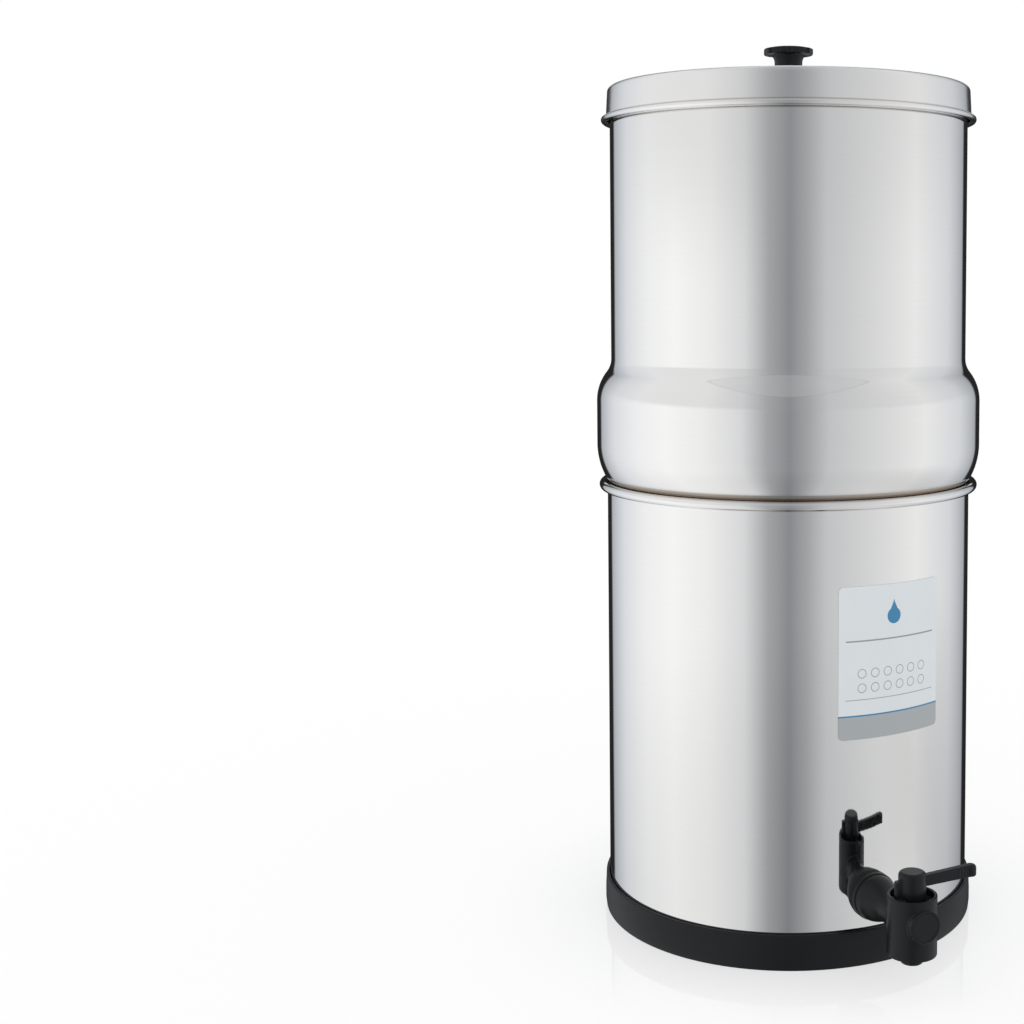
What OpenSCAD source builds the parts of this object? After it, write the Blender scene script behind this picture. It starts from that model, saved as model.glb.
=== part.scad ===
// Gravity water filter: two nested steel chambers on a base ring, a lid with a knob, two ceramic
// candles and a quarter-turn tap. +Z is up, the tap points along -Y, and z = 0 is the underside
// of the base ring. Every chamber is a drawn sheet of the same thickness.

/* [Sheet steel] */
// Outside diameter of the lower chamber
lower_d = 205; // [190:1:225]
// Thickness of the steel sheet
sheet_t = 0.8; // [0.6:0.1:1.2]
// Outside radius of the corner between a chamber's wall and its floor
floor_round = 8; // [5:0.5:12]

/* [Lower chamber] */
// Height from the underside of its floor to the top of its rim
lower_h = 241; // [200:1:300]
// Thickness of the bead rolled at its rim
rim_bead_d = 5.4; // [4:0.2:7]

/* [Upper chamber] */
// Gap all round between its nested skirt and the lower chamber's wall
nest_gap = 1.6; // [0.5:0.1:2.5]
// Depth of the skirt below the swell
nest_depth = 31; // [24:1:50]
// Height from the foot of the swell to the rim
upper_h = 223.8; // [190:0.1:260]
// How far the swell stands out from the wall
swell_out = 8.1; // [6:0.1:10]
// Radius of the hollow where the wall turns out into the swell's foot
swell_toe_r = 8; // [4:1:12]
// Radius of the swell's round foot
swell_foot_r = 40; // [30:1:60]
// Height of the swell's straight band
swell_band_h = 24; // [8:1:30]
// Radius of the round shoulder above the band
swell_shoulder_r = 26; // [16:1:36]
// Radius of the hollow where the shoulder turns up into the wall
swell_neck_r = 12; // [6:1:20]
// Thickness of the hem rolled inwards at its rim
hem_d = 3.2; // [2.4:0.2:4]
// Gap between pieces that rest on each other and lift apart
seat_gap = 0.3; // [0.25:0.05:0.5]

/* [Lid] */
// Height of the lid
lid_h = 20; // [16:1:30]
// Gap all round between the top of the lid's skirt and the upper chamber
lid_gap = 0.6; // [0.4:0.1:2]
// How far the skirt spreads from its top to its lower edge
lid_draft = 0.7; // [0:0.1:1.5]
// Thickness of the bead rolled at its lower edge
lid_bead_d = 3.6; // [3:0.2:6]
// Outside radius of its top corner
lid_round = 3; // [2.4:0.2:5]

/* [Knob] */
// Height of the knob
knob_h = 23; // [18:1:30]
// Largest diameter of the knob
knob_d = 27.8; // [24:0.4:34]
// Diameter of the knob's stem at the lid
knob_stem_d = 15; // [12:0.4:18]
// Height of the knob's scalloped edge
knob_edge_h = 3.2; // [2:0.1:6]
// Rise of the knob's crown above its edge
knob_crown_h = 0.8; // [0.4:0.1:3]
// Height of the flare between stem and edge
knob_flare_h = 4.5; // [2:0.1:7]
// Diameter of the flare where it meets the underside of the edge
knob_flare_d = 21.6; // [20:0.2:24]
// Number of lobes round the edge
knob_lobes = 8; // [6:1:12]
// Depth of the scallop between two lobes
knob_scallop = 1.3; // [0.6:0.1:2]
// Diameter of the screw that holds the knob
knob_screw_d = 5; // [4:0.5:6]
// Length of that screw under its head
knob_screw_l = 14; // [10:1:16]

/* [Base ring] */
// Height of the ring
ring_h = 19; // [14:1:26]
// Thickness of the ring's wall
ring_wall = 2.2; // [1.6:0.1:4]
// Thickness of the ledge under the chamber
ring_ledge_t = 4; // [3:0.5:6]
// Inside diameter of the ledge
ring_hole_d = 176; // [150:1:180]
// Gap between the ring's wall and the chamber
ring_gap = 0.3; // [0.2:0.1:0.6]

/* [Tap body] */
// Height of the shank's axis above the ground
tap_z = 36.8; // [34:0.2:50]
// Distance from the chamber's wall to the barrel's axis
tap_reach = 42.5; // [40:0.5:55]
// Diameter of the threaded shank
shank_d = 15.6; // [14:0.2:18]
// Length of the shank inside the wall
shank_l = 20.5; // [18:0.5:30]
// Diameter of the water way through the shank
shank_bore_d = 9.4; // [7:0.2:10]
// Diameter of the flange
flange_d = 24.8; // [23:0.2:32]
// Thickness of the flange's rim
flange_t = 2.6; // [2.2:0.2:5]
// Length of the bell between flange and neck
bell_l = 17; // [12:0.5:19]
// Diameter of the valve barrel
barrel_d = 25.2; // [24:0.2:28]
// Height of the barrel above the shank's axis
barrel_up = 15.5; // [14.5:0.5:22]
// Depth of the barrel below the shank's axis
barrel_down = 14.7; // [12:0.1:18]
// Depth of the open recess in the barrel's top
recess_h = 4.2; // [3.4:0.2:5]
// Diameter of that recess
recess_d = 22; // [20:0.2:22.4]
// Diameter of the round boss on the barrel's front
boss_d = 16.8; // [14:0.2:19]
// Height of the boss's centre above the shank's axis
boss_up = 3.1; // [1:0.1:4]
// How far the boss stands out from the barrel
boss_out = 1; // [0.7:0.1:2]

/* [Tap valve] */
// Diameter of the rotor
plug_d = 15.2; // [14:0.2:16.4]
// Gap all round between the rotor and its bores
plug_gap = 0.06; // [0.03:0.01:0.1]
// Diameter of the spout, the rotor's lower end
spout_d = 11; // [10.6:0.2:12.4]
// Length of the spout below the barrel
spout_l = 4.7; // [3:0.1:10]
// Diameter of the port and of the water way down to the spout
port_d = 8; // [6:0.2:9]
// Thickness of the two O-rings
o_ring_t = 1.6; // [1.2:0.1:2]
// Thickness of the bush that keeps the rotor down
bush_t = 2.2; // [1.6:0.1:2.8]
// Diameter of the rotor's neck
neck_d = 8.8; // [8:0.2:9.6]
// Distance across the neck's two drive flats
neck_flats = 6.4; // [5.6:0.2:7.2]

/* [Tap lever] */
// Diameter of the lever's hub
hub_d = 14; // [13:0.2:15]
// Height of the hub above the barrel
hub_up = 11.5; // [9:0.5:13]
// Distance from the hub's axis to the lever's end
lever_l = 36.8; // [28:0.2:50]
// Thickness of the lever
lever_t = 3.4; // [2.6:0.2:5]
// Height of the lever at the hub
lever_h = 5.4; // [4.6:0.2:7]
// Height of the lever at its end
lever_end_h = 6.2; // [5:0.2:8.4]
// How far the lever's middle line rises from the hub to the end
lever_rise = 1.3; // [0:0.1:3]
// Number of grip ribs on each side of the lever
grip_ribs = 4; // [3:1:6]
// Angle that the lever turns between shut and open
lever_turn = 90; // [60:5:90]

/* [Washers and nuts] */
// Thickness of the seals either side of the chamber's wall
seal_t = 1.6; // [1.2:0.1:3]
// Distance across the flats of the tap's nut
tap_nut_af = 24; // [22:0.5:26]
// Thickness of the tap's nut
tap_nut_t = 7; // [5:0.5:10]
// Gap all round between a threaded stem and its hole
hole_gap = 0.3; // [0.2:0.05:0.5]

/* [Candles] */
// Diameter of the circle on which the four floor holes lie
hole_circle_d = 100; // [92:1:110]
// Diameter of a candle's ceramic shell
candle_d = 50; // [44:1:56]
// Height of the ceramic shell
candle_h = 178; // [120:1:190]
// Thickness of the ceramic wall
candle_wall = 7; // [5:0.5:9]
// Thickness of the candle mount's plate
mount_t = 5; // [4:0.5:8]
// Height of the mount's collar round the shell
collar_h = 7; // [4:0.5:12]
// Thickness of the mount's collar
collar_t = 2; // [1.4:0.1:3]
// Diameter of the threaded stem under a candle or plug
stem_d = 12; // [10:0.5:13]
// Length of the stem under a candle
stem_l = 28; // [24:1:36]
// Thickness of the seal under a candle or plug
candle_seal_t = 2.5; // [1.5:0.1:4]
// Height of the wing nut's hub
wing_nut_h = 9; // [7:0.5:12]
// Distance over the wing nut's tips
wing_span = 38; // [32:1:42]
// Diameter of a blanking plug's head
blank_d = 26; // [24:1:34]
// Thickness of a blanking plug's head
blank_t = 4; // [3:0.5:6]
// Distance across the flats of a blanking nut
blank_nut_af = 19; // [18:0.5:22]
// Thickness of a blanking nut
blank_nut_t = 6; // [4:0.5:8]

/* [Label] */
// Width of the label round the chamber
label_w = 64; // [40:1:80]
// Height of the label
label_h = 80; // [60:1:90]
// Height of the label's lower edge above the ground
label_z = 120; // [90:1:140]
// Angle from the tap round to the label's middle
label_turn = 7.2; // [-20:0.2:20]
// Radius of the label's corners
label_round = 2.5; // [1:0.5:5]

/* [Hidden] */
$fn = 96;

// How far a cutting shape runs past the surface it opens
past = 1;
// Steps in a quarter of a round profile
quarter_steps = 10;
// Fineness of the large cylinders that thin pieces are fitted to
wall_fn = 360;

// Chamber radii and levels
lower_r = lower_d / 2;
lower_inner_r = lower_r - sheet_t;
floor_z = ring_ledge_t;
lower_rim_z = floor_z + lower_h;
rim_bead_r = rim_bead_d / 2;
rim_bead_z = lower_rim_z - rim_bead_r;
rim_bead_path_r = lower_inner_r + rim_bead_r;
upper_r = lower_inner_r - nest_gap;
upper_inner_r = upper_r - sheet_t;

// Foot and shoulder of the swell: each is two arcs that meet on a common tangent
foot_angle = acos(1 - swell_out / (swell_foot_r + swell_toe_r));
foot_h = (swell_foot_r + swell_toe_r) * sin(foot_angle);
toe_out = swell_toe_r * (1 - cos(foot_angle));
shoulder_angle = acos(1 - swell_out / (swell_shoulder_r + swell_neck_r));
shoulder_h = (swell_shoulder_r + swell_neck_r) * sin(shoulder_angle);

// Height of the foot's outside above its lower end, at radius r
function foot_rise(r) = let (out = min(swell_out, max(0, r - upper_r)))
    out < toe_out ? sqrt(pow(swell_toe_r, 2) - pow(swell_toe_r - out, 2))
                  : foot_h - sqrt(pow(swell_foot_r, 2) - pow(swell_foot_r - swell_out + out, 2));

// The swell comes down until its foot is seat_gap away from the lower chamber's bead. The bead's
// section, grown by that gap, is followed from its inner side to its crown.
bead_reach = rim_bead_r + seat_gap;
function bead_top(a) = rim_bead_z + bead_reach * sin(a);
function bead_side(a) = rim_bead_path_r - bead_reach * cos(a);
swell_z = max([for (a = [0:2:120]) bead_top(a) - foot_rise(bead_side(a))]);
upper_floor_z = swell_z - nest_depth;
upper_rim_z = swell_z + upper_h;
band_z = swell_z + foot_h;
shoulder_z = band_z + swell_band_h;
hem_r = hem_d / 2;

// The lid comes down until its underside, or its inside corner, is seat_gap away from the hem
lid_inner_r = upper_r + lid_gap;
lid_r = lid_inner_r + sheet_t;
lid_corner_r = lid_round - sheet_t - hem_r;
lid_under_z = upper_rim_z + max(seat_gap, lid_corner_r
    - sqrt(max(0, pow(lid_corner_r - seat_gap, 2) - pow(max(0, lid_corner_r - lid_gap), 2))));
lid_top_z = lid_under_z + sheet_t;
lid_bead_r = lid_bead_d / 2;
lid_bead_z = lid_top_z - lid_h + lid_bead_r;

// Knob fixing
knob_hole_d = knob_screw_d + 2 * hole_gap;
knob_washer_d = 3 * knob_screw_d;
knob_washer_t = 1;
screw_head_d = 1.9 * knob_screw_d;
screw_head_h = 0.6 * knob_screw_d;
screw_socket_d = 0.6 * knob_screw_d;
screw_socket_h = 0.6 * screw_head_h;
knob_core_l = knob_screw_l - sheet_t - knob_washer_t;
knob_stem_swell = 0.3;
knob_edge_round = 0.6;
knob_crown_share = 0.64;
scallop_d = 4 * knob_scallop;

// Ring
ring_inner_r = lower_r + ring_gap;
ring_r = ring_inner_r + ring_wall;
ring_taper = 0.4;
ring_edge = 0.8;

// Tap places
wall_y = -lower_r;
inner_wall_y = -lower_inner_r;
barrel_y = wall_y - tap_reach;
barrel_top_z = tap_z + barrel_up;
barrel_base_z = tap_z - barrel_down;
flange_y = wall_y - seal_t;
inner_seal_y = inner_wall_y + seal_t;
pipe_step = 0.1;
pipe_d = shank_d - 2 * pipe_step;
bell_step = 0.5;
bell_d = flange_d - 2 * bell_step;
groove_w = 0.8;
groove_depth = 1;
groove_d = flange_d - 2 * groove_depth;
bell_y = flange_y - flange_t - groove_w;
boss_face_y = barrel_y - barrel_d / 2 - boss_out;
badge_rim = 1.1;
badge_sink = 0.6;
badge_t = 0.4;

// Valve levels, from the recess down
recess_z = barrel_top_z - recess_h;
bush_z = recess_z - bush_t;
plug_top_z = bush_z - plug_gap;
bush_lip = 1.6;
bush_d = plug_d + 2 * bush_lip;
spout_step_h = 3.6;
spout_step_z = barrel_base_z + spout_step_h;
plug_base_z = spout_step_z + plug_gap;
plug_bore_d = plug_d + 2 * plug_gap;
spout_bore_d = spout_d + 2 * plug_gap;
spout_end_z = barrel_base_z - spout_l;
o_ring_land = 1.4;
o_ring_zs = [plug_base_z + o_ring_land + o_ring_t / 2, plug_top_z - o_ring_land - o_ring_t / 2];

// Lever levels
hub_base_z = recess_z + seat_gap;
hub_top_z = barrel_top_z + hub_up;
hub_edge = 2;
hub_cap_t = 3.5;
neck_top_z = hub_top_z - hub_cap_t;
lever_lift = 3;
lever_z = barrel_top_z + lever_lift;
lever_end_z = lever_z + (lever_h - lever_end_h) / 2 + lever_rise;
post_w = 4;
post_t = 2.4;
post_inner_r = recess_d / 2 - post_t;
stop_gap = 0.3;
lug_w = 3.6;
// How far the lug's round end reaches past the posts' inner faces
lug_bite = 1.4;
lug_r = post_inner_r + lug_bite - lug_w / 2;
lug_top_z = hub_top_z - 2 * hub_edge;
// Angle between the middle of the lug and the middle of the post that stops it
stop_angle = asin(post_w / 2 / post_inner_r) + asin((lug_w / 2 + stop_gap) / post_inner_r);
grip_pitch = 1.8;
grip_d = 1.2;
// How far the ribs are sunk into the lever's sides, and how far they end short of its edges
grip_sink = 0.35;
grip_inset = 0.4;
lever_end_swell = 1.1;
lever_end_d = lever_t + 2 * lever_end_swell;
lever_end_top = 2;
lever_end_foot = 1;

// Candle levels, from the chamber's floor up and down
floor_top_z = upper_floor_z + sheet_t;
mount_z = floor_top_z + candle_seal_t;
shell_z = mount_z + mount_t;
mount_d = candle_d + 2 * collar_t;
stem_hole_d = stem_d + 2 * hole_gap;
stem_bore_d = stem_d / 2;
core_gap = 4;
core_d = candle_d - 2 * candle_wall - 2 * core_gap;
core_h = candle_h - candle_wall - candle_d / 2;
candle_turns = [45, 225];
blank_turns = [135, 315];
seal_d = 28;
wing_hub_wall = 3;
wing_hub_d = stem_d + 2 * wing_hub_wall;
wing_t = 3;
blank_stem_end = 3;
blank_stem_l = candle_seal_t + sheet_t + blank_nut_t + blank_stem_end;
label_t = 0.2;
label_glue = 0.1;

steel = [0.80, 0.81, 0.82];
black = [0.10, 0.11, 0.12];
rubber = [0.07, 0.07, 0.08];
ceramic = [0.93, 0.91, 0.86];
charcoal = [0.15, 0.15, 0.16];
mount_white = [0.90, 0.91, 0.92];
seal_grey = [0.55, 0.57, 0.60];
paper = [0.93, 0.94, 0.95];

// ---------- profiles ----------

// Points of an arc round c, from angle a to angle b
function arc(c, r, a, b, n = quarter_steps) =
    [for (i = [0:n]) let (t = a + (b - a) * i / n) [c[0] + r * cos(t), c[1] + r * sin(t)]];

// Smooth step from r1 at z1 to r2 at z2, level at both ends
function ogee(r1, z1, r2, z2, n = 2 * quarter_steps) =
    [for (i = [0:n]) [r2 + (r1 - r2) * (1 + cos(180 * i / n)) / 2, z1 + (z2 - z1) * i / n]];

// Outline of a drawn vessel from its axis out over the floor and up the wall to z = top, moved
// inwards by i, which is 0 outside and sheet_t inside
function straight_vessel(r, base, top, i) = concat(
    [[0, base + i]],
    arc([r - floor_round, base + floor_round], floor_round - i, -90, 0),
    [[r - i, top]]);

// The same for the upper chamber, with its swell: toe and foot, straight band, shoulder and neck
function upper_vessel(i) = let (toe = upper_r + swell_toe_r, foot = upper_r + swell_out - swell_foot_r,
        shoulder = upper_r + swell_out - swell_shoulder_r, neck = upper_r + swell_neck_r)
    concat(
        [[0, upper_floor_z + i]],
        arc([upper_r - floor_round, upper_floor_z + floor_round], floor_round - i, -90, 0),
        arc([toe, swell_z], swell_toe_r + i, 180, 180 - foot_angle),
        rest(arc([foot, band_z], swell_foot_r - i, -foot_angle, 0)),
        arc([shoulder, shoulder_z], swell_shoulder_r - i, 0, shoulder_angle),
        rest(arc([neck, shoulder_z + shoulder_h], swell_neck_r + i, 180 + shoulder_angle, 180)),
        [[upper_r - i, upper_rim_z - hem_r]]);

// All points but the first, which the list before it already ends with
function rest(p) = [for (i = [1:len(p) - 1]) p[i]];

// Points in the reverse order
function back(p) = [for (i = [len(p) - 1:-1:0]) p[i]];

// A sheet between an outer and an inner outline, turned about Z
module turned_sheet(outer, inner) {
    rotate_extrude() polygon(concat(outer, back(inner)));
}

// A rolled bead: a solid ring of round section
module bead(path_r, section_r, z) {
    translate([0, 0, z]) rotate_extrude() translate([path_r, 0]) circle(section_r);
}

// A cylinder along Y from y1 to y2, centred on the shank's axis
module shank_cylinder(d, y1, y2) {
    translate([0, max(y1, y2), tap_z]) rotate([90, 0, 0]) cylinder(d = d, h = abs(y2 - y1));
}

// A profile of [radius, distance] points turned about the shank's axis, outwards from y = 0
module shank_turned(profile) {
    translate([0, 0, tap_z]) rotate([90, 0, 0]) rotate_extrude() polygon(profile);
}

// A tube standing on z = 0
module tube(outer_d, inner_d, h) {
    difference() {
        cylinder(d = outer_d, h = h);
        translate([0, 0, -past]) cylinder(d = inner_d, h = h + 2 * past);
    }
}

// A hexagon nut standing on z = 0, with its corners turned down
module hex_nut(af, bore_d, h) {
    corner_d = af / cos(30);
    difference() {
        intersection() {
            cylinder(d = corner_d, h = h, $fn = 6);
            rotate_extrude() polygon([
                [0, 0], [af / 2, 0], [corner_d / 2, (corner_d - af) / 3],
                [corner_d / 2, h - (corner_d - af) / 3], [af / 2, h], [0, h]]);
        }
        translate([0, 0, -past]) cylinder(d = bore_d, h = h + 2 * past);
    }
}

// Puts its children at one of the holes in the upper chamber's floor
module at_hole(turn) {
    rotate(turn) translate([hole_circle_d / 2, 0, 0]) rotate(-turn) children();
}

// ---------- base and chambers ----------

// L-section ring: the chamber's floor stands on its ledge, its wall hides the round corner
module base_ring() {
    color(rubber) rotate_extrude() polygon(concat(
        [[ring_hole_d / 2, 0], [ring_r - ring_taper - ring_edge, 0], [ring_r - ring_taper, ring_edge],
         [ring_r, ring_ledge_t], [ring_r, ring_h / 2]],
        arc([ring_r - ring_taper - ring_edge, ring_h - ring_edge], ring_edge, 0, 90, 4),
        [[ring_inner_r, ring_h], [ring_inner_r, floor_z], [ring_hole_d / 2, floor_z]]));
}

module lower_chamber() {
    color(steel) difference() {
        union() {
            turned_sheet(
                straight_vessel(lower_r, floor_z, rim_bead_z, 0),
                straight_vessel(lower_r, floor_z, rim_bead_z, sheet_t));
            bead(rim_bead_path_r, rim_bead_r, rim_bead_z);
        }
        shank_cylinder(shank_d + 2 * hole_gap, wall_y - past, wall_y / 2);
    }
}

module upper_chamber() {
    color(steel) difference() {
        union() {
            turned_sheet(upper_vessel(0), upper_vessel(sheet_t));
            bead(upper_r - hem_r, hem_r, upper_rim_z - hem_r);
        }
        for (turn = concat(candle_turns, blank_turns))
            at_hole(turn) translate([0, 0, upper_floor_z - past])
                cylinder(d = stem_hole_d, h = sheet_t + 2 * past);
    }
}

// Thin sticker wrapped on the wall, with rounded corners
module label() {
    color(paper) rotate(label_turn) intersection() {
        translate([0, 0, label_z])
            tube(lower_d + 2 * (label_glue + label_t), lower_d + 2 * label_glue, label_h, $fn = wall_fn);
        translate([0, wall_y / 2, label_z]) rotate([90, 0, 0]) linear_extrude(lower_r)
            label_outline();
    }
}

module label_outline() {
    half = lower_r * sin(label_w / 2 / lower_r * 180 / PI) - label_round;
    for (x = [-half, half]) for (z = [label_round, label_h - label_round])
        translate([x, z]) circle(label_round);
    translate([-half, 0]) square([2 * half, label_h]);
    translate([-half - label_round, label_round])
        square([2 * (half + label_round), label_h - 2 * label_round]);
}

// ---------- tap body ----------

// One moulding: threaded shank, flange with bell, neck, and the valve barrel
module tap_body() {
    color(black) difference() {
        union() {
            shank_cylinder(shank_d, inner_wall_y + shank_l, flange_y - past);
            shank_cylinder(flange_d, flange_y, flange_y - flange_t);
            shank_cylinder(groove_d, flange_y - flange_t, bell_y);
            translate([0, bell_y, 0]) shank_turned(concat(
                [[0, 0]], ogee(bell_d / 2, 0, pipe_d / 2, bell_l), [[0, bell_l]]));
            shank_cylinder(pipe_d, bell_y - bell_l, barrel_y);
            translate([0, barrel_y, barrel_base_z])
                cylinder(d = barrel_d, h = barrel_up + barrel_down);
            translate([0, 0, boss_up]) shank_cylinder(boss_d, barrel_y, boss_face_y);
        }
        shank_cylinder(shank_bore_d, inner_wall_y + shank_l + past, barrel_y);
        translate([0, 0, boss_up])
            shank_cylinder(boss_d - 2 * badge_rim, boss_face_y + badge_sink, boss_face_y - past);
        translate([0, barrel_y, 0]) valve_bores();
    }
    stop_posts();
}

// The barrel's stepped bore: spout hole, rotor bore, bush seat and open recess
module valve_bores() {
    translate([0, 0, barrel_base_z - past])
        cylinder(d = spout_bore_d, h = barrel_up + barrel_down);
    translate([0, 0, spout_step_z]) cylinder(d = plug_bore_d, h = recess_z - spout_step_z);
    translate([0, 0, bush_z]) cylinder(d = bush_d, h = recess_z - bush_z + past);
    translate([0, 0, recess_z]) cylinder(d = recess_d, h = recess_h + past);
}

// Two posts in the recess that the lever's lug stops against, shut and open
module stop_posts() {
    color(black) translate([0, barrel_y, 0]) for (turn = [180 + stop_angle, 180 - lever_turn - stop_angle])
        intersection() {
            translate([0, 0, recess_z]) tube(recess_d + 2 * stop_gap, recess_d - 2 * post_t, recess_h);
            rotate(turn) translate([0, -post_w / 2, recess_z]) cube([recess_d, post_w, recess_h]);
        }
}

module tap_badge() {
    color(black) translate([0, 0, boss_up])
        shank_cylinder(boss_d - 2 * badge_rim - stop_gap, boss_face_y + badge_sink,
                       boss_face_y + badge_sink - badge_t);
}

// Bush pressed into its seat over the rotor, with the neck running through it
module tap_retainer() {
    color(black) translate([0, barrel_y, bush_z]) tube(bush_d, neck_d + 2 * plug_gap, bush_t);
}

// Seal between flange and chamber, hollowed to the round wall
module tap_outer_washer() {
    color(rubber) difference() {
        shank_cylinder(flange_d, wall_y + seal_t, flange_y);
        shank_cylinder(shank_d, wall_y + seal_t + past, flange_y - past);
        translate([0, 0, floor_z]) cylinder(d = lower_d, h = lower_h, $fn = wall_fn);
    }
}

// Seal inside the wall, rounded to it
module tap_inner_washer() {
    color(rubber) intersection() {
        difference() {
            shank_cylinder(flange_d, inner_wall_y, inner_seal_y);
            shank_cylinder(shank_d, inner_wall_y - past, inner_seal_y + past);
        }
        translate([0, 0, floor_z]) cylinder(r = lower_inner_r, h = lower_h, $fn = wall_fn);
    }
}

module tap_lock_nut() {
    color(black) translate([0, inner_seal_y + tap_nut_t, tap_z]) rotate([90, 0, 0])
        hex_nut(tap_nut_af, shank_d, tap_nut_t);
}

// ---------- tap valve and lever ----------

// Rotor: the side port turns to the shank when the lever points outwards, and water falls
// through the spout. Two grooves hold the O-rings, and two flats drive the neck.
module tap_plug() {
    color(black) translate([0, barrel_y, 0]) difference() {
        union() {
            translate([0, 0, plug_base_z]) cylinder(d = plug_d, h = plug_top_z - plug_base_z);
            translate([0, 0, spout_end_z]) cylinder(d = spout_d, h = plug_base_z - spout_end_z);
            translate([0, 0, plug_top_z]) cylinder(d = neck_d, h = hub_base_z - plug_top_z);
            intersection() {
                translate([0, 0, hub_base_z]) cylinder(d = neck_d, h = neck_top_z - hub_base_z);
                neck_block();
            }
        }
        translate([0, 0, spout_end_z - past])
            cylinder(d = port_d, h = tap_z - spout_end_z + past);
        translate([0, 0, tap_z]) sphere(d = port_d);
        translate([0, 0, tap_z]) rotate([0, -90, 0]) cylinder(d = port_d, h = plug_d);
        for (z = o_ring_zs) translate([0, 0, z - o_ring_t / 2])
            tube(plug_d + 2 * past, plug_d - 2 * o_ring_t, o_ring_t);
    }
}

// The space between the neck's two drive flats, begun this far below the hub
module neck_block(below = 0) {
    translate([-neck_d, -neck_flats / 2, hub_base_z - below])
        cube([2 * neck_d, neck_flats, neck_top_z - hub_base_z + below]);
}

module tap_o_rings() {
    color(rubber) translate([0, barrel_y, 0]) for (z = o_ring_zs)
        bead(plug_d / 2 - o_ring_t / 2, o_ring_t / 2, z);
}

// Hub over the rotor's neck, a lever that deepens to a ribbed grip, and the stop lug
module tap_handle() {
    color(black) translate([0, barrel_y, 0]) difference() {
        union() {
            hub();
            lever_arm();
            stop_lug();
        }
        intersection() {
            translate([0, 0, hub_base_z - past])
                cylinder(d = neck_d, h = neck_top_z - hub_base_z + past);
            neck_block(past);
        }
    }
}

// Round cap with a softened top edge
module hub() {
    r = hub_d / 2;
    rotate_extrude() polygon(concat(
        [[0, hub_base_z], [r, hub_base_z]],
        arc([r - hub_edge, hub_top_z - hub_edge], hub_edge, 0, 90, 6),
        [[0, hub_top_z]]));
}

// Rib with a round end that meets a stop post at each end of the lever's turn
module stop_lug() {
    translate([-lug_r, 0, hub_base_z]) cylinder(d = lug_w, h = lug_top_z - hub_base_z, $fn = 32);
    translate([-lug_r, -lug_w / 2, hub_base_z]) cube([lug_r, lug_w, lug_top_z - hub_base_z]);
}

// The arm's round end, with softened edges
module thumb_post() {
    r = lever_end_d / 2;
    rotate_extrude($fn = 40) polygon(concat(
        [[0, 0]],
        arc([r - lever_end_foot, lever_end_foot], lever_end_foot, -90, 0, 4),
        arc([r - lever_end_top, lever_end_h - lever_end_top], lever_end_top, 0, 90, 6),
        [[0, lever_end_h]]));
}

// Flat arm that rises to a round end, with upright ribs on both sides before it
module lever_arm() {
    end_x = lever_l - lever_end_d / 2;
    translate([0, lever_t / 2, 0]) rotate([90, 0, 0]) linear_extrude(lever_t) polygon([
        [0, lever_z], [end_x, lever_end_z],
        [end_x, lever_end_z + lever_end_h], [0, lever_z + lever_h]]);
    translate([end_x, 0, lever_end_z]) thumb_post();
    for (i = [1:grip_ribs]) let (x = end_x - i * grip_pitch - grip_d / 2, share = x / end_x)
        for (side = [-1, 1])
            translate([x, side * (lever_t / 2 - grip_sink),
                       lever_z + (lever_end_z - lever_z) * share + grip_inset])
                cylinder(d = grip_d, h = lever_h + (lever_end_h - lever_h) * share - 2 * grip_inset,
                         $fn = 24);
}

// ---------- candles and plugs ----------

// Ceramic tube with a domed end, open below
module candle_shell(turn) {
    r = candle_d / 2;
    inner_r = r - candle_wall;
    color(ceramic) at_hole(turn) translate([0, 0, shell_z]) difference() {
        union() {
            cylinder(r = r, h = candle_h - r);
            translate([0, 0, candle_h - r]) sphere(r);
        }
        translate([0, 0, -past]) cylinder(r = inner_r, h = candle_h - r + past);
        translate([0, 0, candle_h - r]) sphere(inner_r);
    }
}

// Carbon block inside the shell, standing on the mount
module candle_core(turn) {
    color(charcoal) at_hole(turn) translate([0, 0, shell_z])
        tube(core_d, stem_bore_d, core_h);
}

// Moulded base: plate, collar round the shell, and the hollow threaded stem
module candle_mount(turn) {
    color(mount_white) at_hole(turn) translate([0, 0, mount_z]) difference() {
        union() {
            cylinder(d = mount_d, h = mount_t + collar_h);
            translate([0, 0, -stem_l]) cylinder(d = stem_d, h = stem_l);
        }
        translate([0, 0, mount_t]) cylinder(d = candle_d, h = collar_h + past);
        translate([0, 0, -stem_l - past]) cylinder(d = stem_bore_d, h = stem_l + mount_t + 2 * past);
    }
}

module stem_seal(turn) {
    at_hole(turn) translate([0, 0, floor_top_z]) tube(seal_d, stem_d, candle_seal_t);
}

module candle_washer(turn) {
    color(seal_grey) stem_seal(turn);
}

// Nut with two rounded wings, tightened by hand under the floor
module candle_wing_nut(turn) {
    wing_r = wing_nut_h / 2;
    color(mount_white) at_hole(turn) translate([0, 0, upper_floor_z - wing_nut_h]) difference() {
        union() {
            cylinder(d = wing_hub_d, h = wing_nut_h);
            translate([0, wing_t / 2, wing_r]) rotate([90, 0, 0]) linear_extrude(wing_t) union() {
                for (side = [-1, 1]) translate([side * (wing_span / 2 - wing_r), 0]) circle(wing_r);
                square([wing_span - 2 * wing_r, wing_nut_h], center = true);
            }
        }
        translate([0, 0, -past]) cylinder(d = stem_d, h = wing_nut_h + 2 * past);
    }
}

// Solid plugs that close the two spare holes
module blanking_plugs() {
    color(mount_white) for (turn = blank_turns) at_hole(turn) translate([0, 0, mount_z]) {
        cylinder(d = blank_d, h = blank_t);
        translate([0, 0, -blank_stem_l]) cylinder(d = stem_d, h = blank_stem_l);
    }
}

module blanking_washers() {
    color(seal_grey) for (turn = blank_turns) stem_seal(turn);
}

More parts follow.
